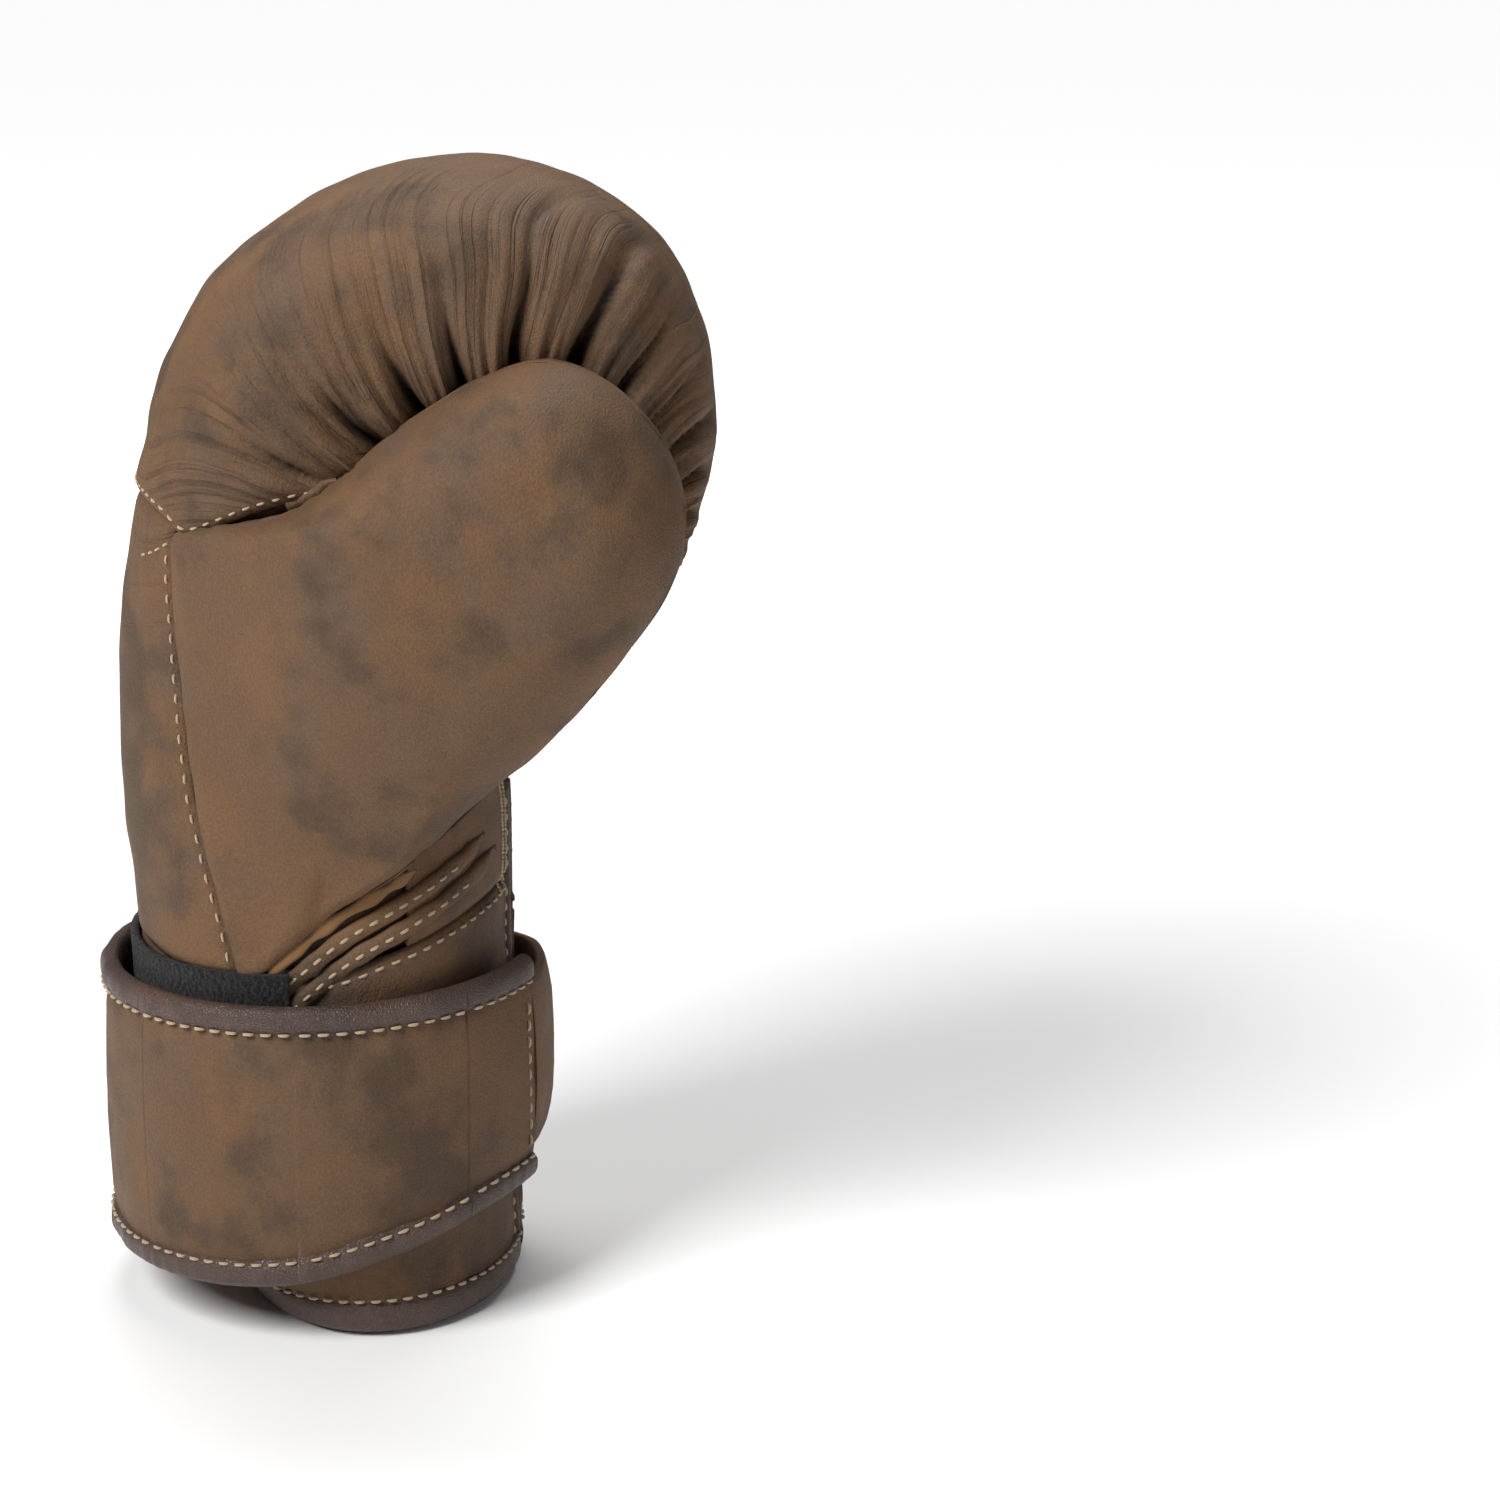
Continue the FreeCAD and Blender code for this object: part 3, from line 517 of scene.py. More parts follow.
def foam():
    material, tree, shader, place = start_material("layered_foam")
    cells = add(tree, "ShaderNodeTexVoronoi", [("Vector", place), ("Scale", 900.0)])
    tone = mix_colour(tree, cells.outputs["Distance"], colour(150, 146, 138),
                      colour(186, 182, 172))
    tree.links.new(tone, shader.inputs["Base Color"])
    tree.links.new(bump(tree, cells.outputs["Distance"], 0.0004), shader.inputs["Normal"])
    tree.links.new(stretch(tree, cells.outputs["Distance"], 0.0, 0.8, 0.95, 0.8),
                   shader.inputs["Roughness"])
    return material


HIDE = dict(ground=colour(99, 75, 55), shadow=colour(72, 58, 46), warm=colour(106, 79, 55),
            cool=colour(93, 74, 60))
MITT_HIDE = leather("mitt_leather", folds=True, **HIDE)
PANEL_HIDE = leather("panel_leather", folds=True, **HIDE)
STRAP_HIDE = leather("strap_leather", **HIDE)
BINDING = binding_leather()
SEWING = thread("beige_thread", colour(206, 182, 148), colour(150, 124, 92))
GOLD = thread("golden_thread", colour(158, 112, 58), colour(104, 72, 36))
LINING = cloth("lining_cloth", colour(40, 36, 36), colour(16, 14, 14), 700.0)
ELASTIC = cloth("gore_elastic", colour(34, 31, 32), colour(12, 11, 11), 520.0)
LOOPS = pile_cloth("loop_pile", colour(10, 8, 9), colour(40, 37, 38))
HOOKS = pile_cloth("hook_face", colour(14, 12, 12), colour(34, 31, 31))
FOAM = foam()


# ---------------------------------------------------------------- the glove's outer surface

def row_table():
    """Rows of (place along the glove, near wall, far wall, thumb side, finger side, squareness)."""
    rows = [(z * MM, CURL[0] - palm * MM, CURL[0] + back * MM, thumb * MM, finger * MM, power)
            for z, back, palm, thumb, finger, power, _, _ in LEVEL_ROWS]
    rows += [(CURL[2] + math.radians(180 - angle) * CURL_PATH, near * MM, far * MM, thumb * MM,
              finger * MM, power) for angle, near, far, thumb, finger, power in MITT_ROWS]
    return np.array(rows).T


ROWS = row_table()
TIP = ROWS[0, -1]
WALLS = np.array([(z * MM, back * MM, palm * MM) for z, *_, back, palm in LEVEL_ROWS]
                 + [(TIP, 36 * MM, 16 * MM)]).T


def body(t, a, inset=0.0, walled=0.0):
    """Points of the glove's outside: t is the way up and round the curl, a the angle round it.

    a is 0 on the palm, 90 degrees on the thumb side and 180 degrees on the back.
    walled moves the points inwards by a share of the padding's thickness.
    """
    t, a = np.broadcast_arrays(np.asarray(t, float), np.asarray(a, float))
    near, far, thumb, finger, power = (through(ROWS[0], ROWS[k], t) for k in range(1, 6))
    back_wall = np.interp(t, WALLS[0], WALLS[1]) * walled + inset
    palm_wall = np.interp(t, WALLS[0], WALLS[2]) * walled + inset
    side_wall = 9 * MM * walled + inset
    middle = (near + palm_wall + far - back_wall) / 2
    half_depth = np.maximum((far - near - back_wall - palm_wall) / 2, 0.4 * MM)
    half_width = np.maximum((thumb + finger) / 2 - side_wall, 0.4 * MM)
    round_off = (abs(np.cos(a)) ** power + abs(np.sin(a)) ** power) ** (-1 / power)
    depth = middle - half_depth * np.cos(a) * round_off
    if not inset and not walled:
        turned = (a + math.pi) % (2 * math.pi) - math.pi
        tucked = smooth(205 * MM, 225 * MM, t) * smooth(TIP - 30 * MM, TIP - 75 * MM, t)
        thumb_tuck = smooth(0.10, 0.62, turned) * smooth(1.9, 0.95, turned)
        finger_tuck = smooth(-0.10, -0.62, turned) * smooth(-1.7, -0.95, turned)
        depth = depth - tucked * (11.5 * MM * thumb_tuck + 8.0 * MM * finger_tuck)
    y = (finger - thumb) / 2 - half_width * np.sin(a) * round_off
    turn = math.pi - np.maximum(t - CURL[2], 0) / CURL_PATH
    return np.stack([CURL[0] + depth * np.cos(turn), y,
                     np.minimum(t, CURL[2]) + depth * np.sin(turn)], -1)


def outward(t, a, **kw):
    step = 0.2 * MM
    along = body(np.minimum(t + step, TIP), a, **kw) - body(t - step, a, **kw)
    across = body(t, a + 0.004, **kw) - body(t, a - 0.004, **kw)
    normal = np.cross(along, across)
    return normal / np.maximum(np.linalg.norm(normal, axis=-1, keepdims=True), 1e-12)


def angle_at(t, x, thumb_side=True):
    """The angle where the outside has that x, on the thumb side or the finger side."""
    a = np.linspace(0.02, math.pi - 0.02, 240)
    t = np.atleast_1d(np.asarray(t, float))
    x = np.broadcast_to(x, t.shape)
    found = np.array([np.interp(-xi, -body(ti, a)[:, 0], a) for ti, xi in zip(t, x)])
    return found if thumb_side else 2 * math.pi - found


# The seam between the back panel and the thumb's cover: height and x
THUMB_SEAM = np.array([(94.5, -30.3), (106.0, -32.8), (121.2, -37.1), (138.7, -40.6),
                       (158.6, -42.2), (175.8, -43.0), (192.8, -43.3), (201.2, -42.5)]) * MM
# Where the mitt's edge runs: angle in degrees and place along the glove
BROW = ((-180, 210.0), (-145, 208.0), (-118, 204.0), (-90, 206.0), (-45, 208.0), (0, 208.0),
        (60, 213.0), (80, 212.0), (97, 207.8), (108, 204.4), (118, 202.0), (128, 206.0),
        (145, 209.0), (180, 210.0))


def brow(a):
    rows = np.array(BROW)
    turned = (np.degrees(a) + 180) % 360 - 180
    return through(rows[:, 0], rows[:, 1], turned) * MM


def cuff_edge(a):
    """Where the cuff's leather meets the hand's: higher on the palm."""
    turned = abs((np.degrees(a) + 180) % 360 - 180)
    return through([0, 35, 62, 85, 110, 180], [107.0, 104.5, 99.0, 93.5, 93.0, 96.0], turned) * MM


def thumb_seam(t):
    return angle_at(t, np.interp(t, THUMB_SEAM[:, 0], THUMB_SEAM[:, 1]))


def finger_seam(t):
    return angle_at(t, -42 * MM, thumb_side=False)


def palm_seam(t):
    return angle_at(t, 10 * MM, thumb_side=False)


def slit_edge(t):
    """The small angle at which the palm's slit ends."""
    a = np.linspace(0, 0.6, 60)
    return np.array([np.interp(SLIT_HALF, abs(body(ti, a)[:, 1] - body(ti, 0.0)[1]), a)
                     for ti in np.atleast_1d(t)])


def groove(distance):
    return -SEAM_GROOVE * np.exp(-(distance / SEAM_GROOVE_WIDTH) ** 2)


FOLD_CENTRE = np.array([48.0, 192.0]) * MM
FOLD_LINE = rounded(np.array([(-60, 196), (-43, 201.5), (-10, 211), (14, 230), (38, 246),
                              (60, 243), (78, 226), (82, 205)]) * MM)


def folds(points):
    """The mitt's gathers: height along the normal, place across the folds, their depth."""
    flat = points[..., [0, 2]]
    x, z = flat[..., 0] - FOLD_CENTRE[0], flat[..., 1] - FOLD_CENTRE[1]
    reach = np.hypot(x, z)
    angle = np.degrees(np.arctan2(z, -x)) - 0.26 * (reach / MM - 45) * smooth(10, 60, np.degrees(
        np.arctan2(z, -x)))
    gap, _ = distance_to(even_steps(FOLD_LINE, 2 * MM), flat)
    side = smooth(4 * MM, -36 * MM, points[..., 1])
    far_side = smooth(10 * MM, 45 * MM, points[..., 1])
    bend = wobble(points, 45 * MM, 3) * 2.2 + wobble(points, 16 * MM, 4) * 0.35
    height = np.zeros(gap.shape)
    for spacing, tall, reach_out, seed, power in (
            (14.0, 7.5, 25, 5, 0.6), (7.0, 2.9, 31, 6, 0.62), (3.4, 0.85, 44, 7, 0.8)):
        place = (angle + bend) / spacing + wobble(points, 60 * MM, seed) * 0.3
        ridge = abs(np.sin(np.pi * place)) ** power - 0.68
        patchy = 0.85 + 0.4 * wobble(points, 30 * MM, seed + 20)
        tip_side = 0.45 + 0.6 * smooth(-35 * MM, 5 * MM, points[..., 0])
        fade = np.exp(-(gap / (reach_out * MM)) ** 1.5) * np.clip(patchy, 0.12, 1.3) * tip_side
        height += tall * MM * ridge * fade * side
        height += 0.25 * tall * MM * ridge * np.clip(patchy, 0, 1) * far_side
    depth = np.exp(-(gap / (50 * MM)) ** 2) * (0.2 + 0.8 * side) + 0.1
    depth *= np.clip(0.8 + 0.5 * wobble(points, 17 * MM, 41), 0.1, 1.4)
    return np.maximum(height, -5.6 * MM), angle + bend, depth


def relief(points, t, a):
    """How far the leather stands off the smooth shape: seams, folds, and the hand's unevenness."""
    turned = a % (2 * math.pi)
    height = 0.45 * MM * wobble(points, 26 * MM, 11) + 0.16 * MM * wobble(points, 8 * MM, 12)
    edge = brow(a)
    on_mitt = t > edge
    fold, way, depth = folds(points)
    height += np.where(on_mitt, fold * smooth(edge + 2 * MM, edge + 9 * MM, t), 0.0)
    height += np.where(on_mitt, 1.1 * MM * smooth(edge + 14 * MM, edge + 3 * MM, t), 0.0)
    gathered = smooth(edge - 34 * MM, edge - 2 * MM, t) * smooth(edge + 1 * MM, edge - 3 * MM, t)
    height += 0.34 * MM * gathered * abs(np.sin(np.pi * points[..., 1] / (5.2 * MM)
                                                + 2 * wobble(points, 20 * MM, 13))) ** 0.8
    height += groove(t - edge)
    cuff_line = cuff_edge(a)
    in_hand = (t > cuff_line) & (t < edge)
    across = 55 * MM
    for seam in (thumb_seam, finger_seam, palm_seam):
        rows = np.linspace(90 * MM, 207 * MM, 60)
        where = np.interp(t, rows, seam(rows))
        height += np.where(in_hand, groove((turned - where) * across), 0.0)
    height += groove(t - cuff_line)
    return height, way, np.where(on_mitt, depth, 0.16 + 0.4 * gathered)


def panel(name, t, a, material, keep=None, lift=0.0):
    """A panel of leather on the glove's outside; t and a are grids, a falling along each row."""
    smooth_points = body(t, a)
    height, way, depth = relief(smooth_points, t, a)
    points = smooth_points + outward(t, a) * (height + lift)[..., None]
    normals = grid_normals(points)
    quads = grid_quads(*t.shape)
    if keep is not None:
        quads = quads[keep.reshape(-1)]
    folded = np.zeros(t.shape + (3,))
    folded[..., 0] = way
    folded[..., 1] = t / MM
    # painted shade mask: 1 where the leather sinks deepest, in the fold valleys and seam grooves
    painted_crease_shade = smooth(-0.9 * MM, -2.6 * MM, height)
    used = np.unique(quads)
    piece = sheet_piece(name, points, normals, quads, LEATHER, material)
    for key, value in (("fold_way", folded), ("fold_depth", depth), ("painted_crease_shade", painted_crease_shade)):
        vector = value.ndim == points.ndim
        flat = value.reshape(-1, 3)[used] if vector else value.reshape(-1)[used]
        flat = np.concatenate([flat, flat]).astype(np.float32)
        attribute = piece.data.attributes.new(key, "FLOAT_VECTOR" if vector else "FLOAT", "POINT")
        attribute.data.foreach_set("vector" if vector else "value", flat.ravel())
    return piece


def span(t_low, t_high, a_high, a_low, rows, cols, a_share=None):
    """Grids of t and a between two edges; each edge is a number or a function of the other."""
    u = np.linspace(0, 1, rows)[:, None]
    v = (np.linspace(0, 1, cols) if a_share is None else a_share)[None, :]
    middle = [float(np.mean(edge(np.linspace(0, 6.0, 30)))) if callable(edge) else edge
              for edge in (t_low, t_high)]
    t = middle[0] + (middle[1] - middle[0]) * u * np.ones_like(v)
    for _ in range(2):
        line = t[:, 0]
        top = a_high(line)[:, None] if callable(a_high) else a_high
        low = a_low(t[:, -1])[:, None] if callable(a_low) else a_low
        a = top + (low - top) * v
        t = ((t_low(a) if callable(t_low) else t_low) * (1 - u)
             + (t_high(a) if callable(t_high) else t_high) * u)
    return np.broadcast_arrays(t + 0 * a, a + 0 * t)


def uneven(cols, dense_from, dense_to, weight=2.0):
    """Shares from 0 to 1, packed closer together between two places."""
    x = np.linspace(0, 1, 400)
    density = 1 + (weight - 1) * smooth(dense_from - 0.08, dense_from + 0.04, x) * smooth(
        dense_to + 0.08, dense_to - 0.04, x)
    total = np.cumsum(density)
    return np.interp(np.linspace(0, 1, cols), (total - total[0]) / (total[-1] - total[0]), x)


# ---------------------------------------------------------------- leather panels

FACE = math.radians(36)


def build_mitt():
    t, a = span(brow, TIP, 2 * math.pi - FACE, FACE, 232, 200, uneven(200, 0.52, 1.0, 2.2))
    mitt = panel("mitt_leather_cover", t, a, MITT_HIDE)
    belongs(mitt, "glove", "mitt_leather", "mitt_cover")
    t, a = span(brow, TIP, FACE, -FACE, 170, 60)
    face = panel("mitt_finger_side", t, a, MITT_HIDE)
    belongs(face, "glove", "mitt_leather", "finger_face")


# How far the leather behind the thumb runs on under the mitt, and (as an angle) the back panel
WALL_REACH = 7.0 * MM
WALL_TUCK = 0.11


def build_hand():
    t, a = span(cuff_edge, brow, finger_seam, thumb_seam, 120, 110)
    back = panel("back_leather", t, a, PANEL_HIDE)
    t, a = span(cuff_edge, brow, palm_seam, finger_seam, 110, 70)
    side = panel("finger_side_leather", t, a, PANEL_HIDE)
    t, a = span(cuff_edge, lambda a: brow(a) + WALL_REACH,
                lambda t: thumb_seam(t) + WALL_TUCK, math.radians(40), 110, 70)
    wall = panel("leather_behind_thumb", t, a, PANEL_HIDE, lift=-2.5 * MM)
    for piece, node in ((back, "back_hand_panel"), (side, "finger_side_panel"),
                        (wall, "thumb_gusset")):
        belongs(piece, "glove", "panel_leather", node)
    build_palm()


def build_palm():
    rows = 150
    t = np.linspace(0, 1, rows)[:, None] + np.zeros((1, 91))
    line = (107 + (208 - 107) * t[:, 0]) * MM
    edge = slit_edge(line)
    left = palm_seam(line) - 2 * math.pi
    shares = np.linspace(0, 1, 45)[:, None]
    thumb_half = edge + (math.radians(58) - edge) * np.linspace(0, 1, 46)[:, None]
    a = np.concatenate([left - (left + edge) * shares, thumb_half]).T[:, ::-1]
    t = cuff_edge(a) * (1 - t) + brow(a) * t
    keep = np.ones((rows - 1, 90), bool)
    keep[t[:-1, 0] < SLIT_TOP, 45] = False
    palm = panel("palm_leather", t, a, PANEL_HIDE, keep)
    belongs(palm, "glove", "panel_leather", "palm_panel")


def build_cuff():
    whole = 2 * math.pi
    seam = math.radians(122)
    for name, node, high, end in (
            ("cuff_back_leather", "cuff_back_panel", whole - seam, seam),
            ("cuff_finger_side_leather", "cuff_finger_side_panel", whole, whole - seam),
            ("cuff_thumb_side_leather", "cuff_thumb_side_panel", seam, 0.0)):
        t, a = span(1.5 * MM, cuff_edge, high, end, 80, 60)
        if name != "cuff_back_leather":
            line = slit_edge(t[:, 0])[:, None]
            a = np.minimum(a, whole - line) if high == whole else np.maximum(a, line)
        cuff = panel(name, t, a, PANEL_HIDE)
        belongs(cuff, "glove", "panel_leather", node)


build_mitt()
build_hand()
build_cuff()


# ---------------------------------------------------------------- the thumb and side cover

# Outline seen from the thumb side: x, z, how round the edge is (all mm), and the edge's y;
# a y of 0 stands for the hand's own surface.
THUMB_OUTLINE = (
    (-10, 210.5, 4, 0), (2, 221, 13, -50), (14, 230.5, 22, -55), (26, 239, 24, -57),
    (38, 245, 25, -58), (49, 247, 25, -58), (60.5, 243, 25, -58), (69.5, 235, 25, -58),
    (76.5, 225.5, 25, -58), (80, 214, 25, -58), (80, 202, 25, -58), (76, 192, 25, -58),
    (71, 184, 24, -58), (59.5, 168, 22, -56), (45, 152, 19, -53), (35.5, 144, 16, -50),
    (23, 131.5, 11, -47), (16, 124, 6, -47), (11, 120, 4, 0), (2, 115, 3, 0),
    (-6, 110.5, 3, 0), (-14, 104, 3, 0), (-21, 98, 3, 0), (-26, 93, 3, 0), (-30, 92, 3, 0),
    (-30.3, 94.5, 3, 0), (-32.8, 106, 3, 0), (-37.1, 121.2, 3, 0), (-40.6, 138.7, 3, 0),
    (-42.2, 158.6, 3.5, 0), (-43, 175.8, 3.5, 0), (-43.3, 192.8, 3.5, 0), (-43, 203, 3, 0),
    (-35, 205, 3, 0), (-23, 207.5, 3.5, 0))
THUMB_MIDDLE = np.array([15.0, 175.0]) * MM
HINGE = np.array([-9.47, -74.96, 210.09]) * MM
HINGE_WAY = np.array([0.9718, 0.0, 0.2358])


def hand_side(x, z):
    """The y of the hand's own surface on the thumb side."""
    t = np.atleast_1d(z)
    a = angle_at(t, np.atleast_1d(x))
    return body(t, a)[:, 1]


def thumb_points(rings, around):
    outline = rounded(np.array(THUMB_OUTLINE, float) * MM, 3, closed=True)
    outline = np.vstack([outline, outline[:1]])
    lengths = np.r_[0, np.cumsum(np.linalg.norm(np.diff(outline[:, :2], axis=0), axis=1))]
    at = np.linspace(0, lengths[-1], around, endpoint=False)
    outline = np.stack([np.interp(at, lengths, outline[:, k]) for k in range(4)], -1)
    on_hand = outline[:, 3] > -44 * MM
    skin = hand_side(outline[:, 0], np.minimum(outline[:, 1], 222 * MM))
    edge_y = np.where(outline[:, 3] > -1 * MM, skin, np.minimum(outline[:, 3], skin))
    edge_y = np.where(on_hand, np.minimum(skin, edge_y), edge_y)
    phi = np.linspace(0, math.pi, rings)
    share = np.maximum(np.sin(phi), 0.0004)[:, None]
    xz = THUMB_MIDDLE + (outline[None, :, :2] - THUMB_MIDDLE) * share[..., None]
    gap, _ = distance_to(even_steps(np.vstack([outline[:, :2], outline[:1, :2]]), 0.7 * MM), xz)
    radius = outline[None, :, 2]
    lift = np.sqrt(np.maximum(1 - (1 - np.clip(gap / radius, 0, 1)) ** 2, 0))
    middle_y = -53 * MM + (edge_y[None, :] + 53 * MM) * share ** 2
    heights = np.linspace(92, 222, 60) * MM
    seam_x = np.interp(heights, THUMB_SEAM[:, 0], THUMB_SEAM[:, 1])
    seam_y = hand_side(seam_x, heights)
    left_x = np.interp(xz[..., 1], heights, seam_x)
    left_y = np.interp(xz[..., 1], heights, seam_y) - 2.2 * MM
    fullest = -(53 + 28.5 * smooth(97 * MM, 205 * MM, xz[..., 1])) * MM
    rise = np.sin(math.pi / 2 * np.clip((xz[..., 0] - left_x) / (64 * MM), 0, 1))
    outer_y = left_y + (fullest - left_y) * rise
    outer_y = np.minimum(outer_y, middle_y - 1.5 * MM)
    inner_y = middle_y + np.where(radius > 8 * MM, 17 * MM, 2.0 * MM)
    front = (phi <= math.pi / 2)[:, None]
    y = np.where(front, middle_y + (outer_y - middle_y) * lift,
                 middle_y + (inner_y - middle_y) * lift)
    points = np.stack([xz[..., 0], y, xz[..., 1]], -1)
    return points, grid_normals(points, closed=True), gap, front


def shrunk(points, inset):
    """Moves a closed skin inwards, less where it is thin."""
    facing = points[::-1]
    thickness = abs(points[..., 1] - facing[..., 1])
    share = np.clip((thickness - 2 * inset) / np.maximum(thickness, 1e-6), 0.05, 1.0)
    middle = (points + facing) / 2
    made = middle + (points - middle) * share[..., None]
    made[..., [0, 2]] = THUMB_MIDDLE + (made[..., [0, 2]] - THUMB_MIDDLE) * 0.84
    return made


def cut_flat(points, way):
    """Keeps one side of the crease the thumb turns on; the rest folds flat onto the cut."""
    reach = (points - HINGE) @ HINGE_WAY * way
    beyond = np.maximum(1.0 * MM - reach, 0)
    moved = points + (beyond * way)[..., None] * HINGE_WAY
    edge = points[(reach > 1.0 * MM) & (reach < 5.0 * MM)]
    heights = np.linspace(edge[:, 2].min(), edge[:, 2].max(), 24)
    near = [edge[abs(edge[:, 2] - z) < 5 * MM][:, 1] for z in heights]
    outermost = np.interp(moved[..., 2], heights, [y.min() if len(y) else -0.05 for y in near])
    innermost = np.interp(moved[..., 2], heights, [y.max() if len(y) else -0.05 for y in near])
    folded = beyond > 0
    moved[..., 2] = np.where(folded, np.clip(moved[..., 2], heights[1], heights[-2]),
                             moved[..., 2])
    middle = (outermost + innermost) / 2
    half = np.maximum((innermost - outermost) / 2 - 1.5 * MM, 0.5 * MM)
    inside = middle + np.clip(moved[..., 1] - middle, -half, half)
    moved[..., 1] = np.where(folded, inside, moved[..., 1])
    return moved


def build_thumb():
    points, normals, gap, front = thumb_points(170, 300)
    height = 0.5 * MM * wobble(points, 30 * MM, 31) + 0.14 * MM * wobble(points, 9 * MM, 32)
    under_mitt = smooth(22 * MM, 3 * MM, gap) * smooth(188 * MM, 202 * MM, points[..., 2]) \
        * smooth(4 * MM, -8 * MM, points[..., 0])
    height += 0.45 * MM * under_mitt * abs(np.sin(points[..., 0] / (1.7 * MM)
                                                  + wobble(points, 12 * MM, 33)))
    points = points + normals * (height * np.where(front, 1, 0.3))[..., None]
    quads = grid_quads(*gap.shape, closed=True)
    cover = make_piece("thumb_and_side_cover", points.reshape(-1, 3), quads, PANEL_HIDE)
    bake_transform(cover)
    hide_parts("thumb_side_panel", "thumb_outer_panel", "thumb_inner_panel")
    for name, node, rider, way in (("thumb_foam", "thumb_pad", "thumb", 1),
                                   ("side_foam", "thumb_side_pad", "glove", -1)):
        foam_points = cut_flat(shrunk(thumb_points(70, 130)[0], 6.5 * MM), way)
        piece = make_piece(name, foam_points.reshape(-1, 3), grid_quads(60, 110, True), FOAM)
        belongs(piece, rider, "padding", node)


# ---------------------------------------------------------------- tubes and strips

def tube(name, rings, material):
    """A closed body through rings of points, with both ends filled."""
    first, last = rings[:1], rings[-1:]
    start, stop = first.mean(1, keepdims=True), last.mean(1, keepdims=True)
    rings = np.concatenate([start + (first - start) * 0.002, start + (first - start) * 0.85,
                            first, rings, last, stop + (last - stop) * 0.85,
                            stop + (last - stop) * 0.002])
    rows, cols = rings.shape[:2]
    quads = grid_quads(rows, cols, closed=True)
    middle = rings.mean(1, keepdims=True)
    facing = (grid_normals(rings, closed=True) * (rings - middle)).sum()
    if facing < 0:
        quads = quads[:, ::-1]
    return make_piece(name, rings.reshape(-1, 3), quads, material)


def loop_of(count, power=2.0):
    """Points round a unit circle, squarer with a higher power: (across, out) pairs."""
    angle = np.linspace(0, 2 * math.pi, count, endpoint=False)
    c, s = np.cos(angle), np.sin(angle)
    size = (abs(c) ** power + abs(s) ** power) ** (-1 / power)
    return c * size, s * size


def skin_line(t, a, lift=0.0):
    """Points on the leather along a line of t and a, with normals."""
    base = body(t, a)
    height, _, _ = relief(base, t, a)
    normal = outward(t, a)
    return base + normal * (height + lift)[..., None], normal


def skin_strip(name, t, a, half_width, rise, sink, material, seed=1, rough=0.0, taper=None):
    """A narrow strip laid along a line on the leather; it fades in over the taper's length."""
    points, normal = skin_line(t, a)
    along = np.gradient(points, axis=0)
    side = np.cross(along, normal)
    side /= np.linalg.norm(side, axis=-1, keepdims=True)
    across, out = loop_of(20, 2.6)
    run = np.r_[0, np.cumsum(np.linalg.norm(np.diff(points, axis=0), axis=1))]
    fade = smooth(0.0, taper, run)[:, None] if taper else np.ones((len(run), 1))
    width = half_width * (1 + rough * wobble_line(run, 5 * MM, seed))[:, None]
    width = width * (0.35 + 0.65 * fade)
    lift = np.where(out > 0, out * rise, out * sink)[None, :] * (0.12 + 0.88 * fade)
    rings = points[:, None] + side[:, None] * (across[None, :] * width)[..., None] \
        + normal[:, None] * lift[..., None]
    return tube(name, rings, material)


def stitch_line(name, points, normals, length=STITCH, gap=STITCH_GAP, radius=THREAD, start=0.0):
    """One mesh of short threads along a line; normals point out of the leather."""
    run = np.r_[0, np.cumsum(np.linalg.norm(np.diff(points, axis=0), axis=1))]
    pitch = length + gap
    middles = np.arange(start + length / 2, run[-1] - length / 2, pitch)
    s = np.array([-1.0, -0.86, -0.45, 0.0, 0.45, 0.86, 1.0])
    fat = np.array([0.15, 0.7, 0.98, 1.0, 0.98, 0.7, 0.15])
    at = middles[:, None] + s[None, :] * length / 2
    flat = at.ravel()
    centre = np.stack([np.interp(flat, run, points[:, k]) for k in range(3)], -1)
    normal = np.stack([np.interp(flat, run, normals[:, k]) for k in range(3)], -1)
    normal /= np.linalg.norm(normal, axis=-1, keepdims=True)
    along = np.stack([np.interp(flat, run, np.gradient(points[:, k], run)) for k in range(3)], -1)
    side = np.cross(along, normal)
    side /= np.maximum(np.linalg.norm(side, axis=-1, keepdims=True), 1e-9)
    fatness = np.tile(fat, len(middles))[:, None]
    dip = np.tile(0.30 - 1.2 * s ** 4, len(middles))[:, None] * radius
    turn = np.linspace(0, 2 * math.pi, 8, endpoint=False)
    rings = (centre + normal * dip)[:, None] + (
        side[:, None] * np.cos(turn)[None, :, None]
        + normal[:, None] * np.sin(turn)[None, :, None]) * (fatness * radius)[:, None]
    count = len(s)
    one = grid_quads(count, 8, closed=True)
    quads = (one[None] + (np.arange(len(middles)) * count * 8)[:, None, None]).reshape(-1, 4)
    return make_piece(name, rings.reshape(-1, 3), quads, SEWING)


def skin_stitches(name, t, a, lift=0.0, **kw):
    points, normals = skin_line(np.asarray(t, float), np.asarray(a, float), lift)
    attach(stitch_line(name, points, normals, **kw), "glove")


# ---------------------------------------------------------------- foam and linings

def wadding(name, node, t_low, t_high, a_low, a_high, rows=40, cols=60):
    """A body of foam between the leather and the lining."""
    t = np.linspace(t_low, t_high, rows)[:, None]
    a = np.linspace(a_low, a_high, cols)[None, :]
    outer = body(t, a, inset=8.0 * MM if t_high > 210 * MM else 2.6 * MM)
    inner = body(t, a, inset=-1.6 * MM, walled=1.0)
    rings = np.concatenate([outer, inner[:, ::-1]], 1)
    piece = tube(name, rings, FOAM)
    belongs(piece, "glove", "padding", node)


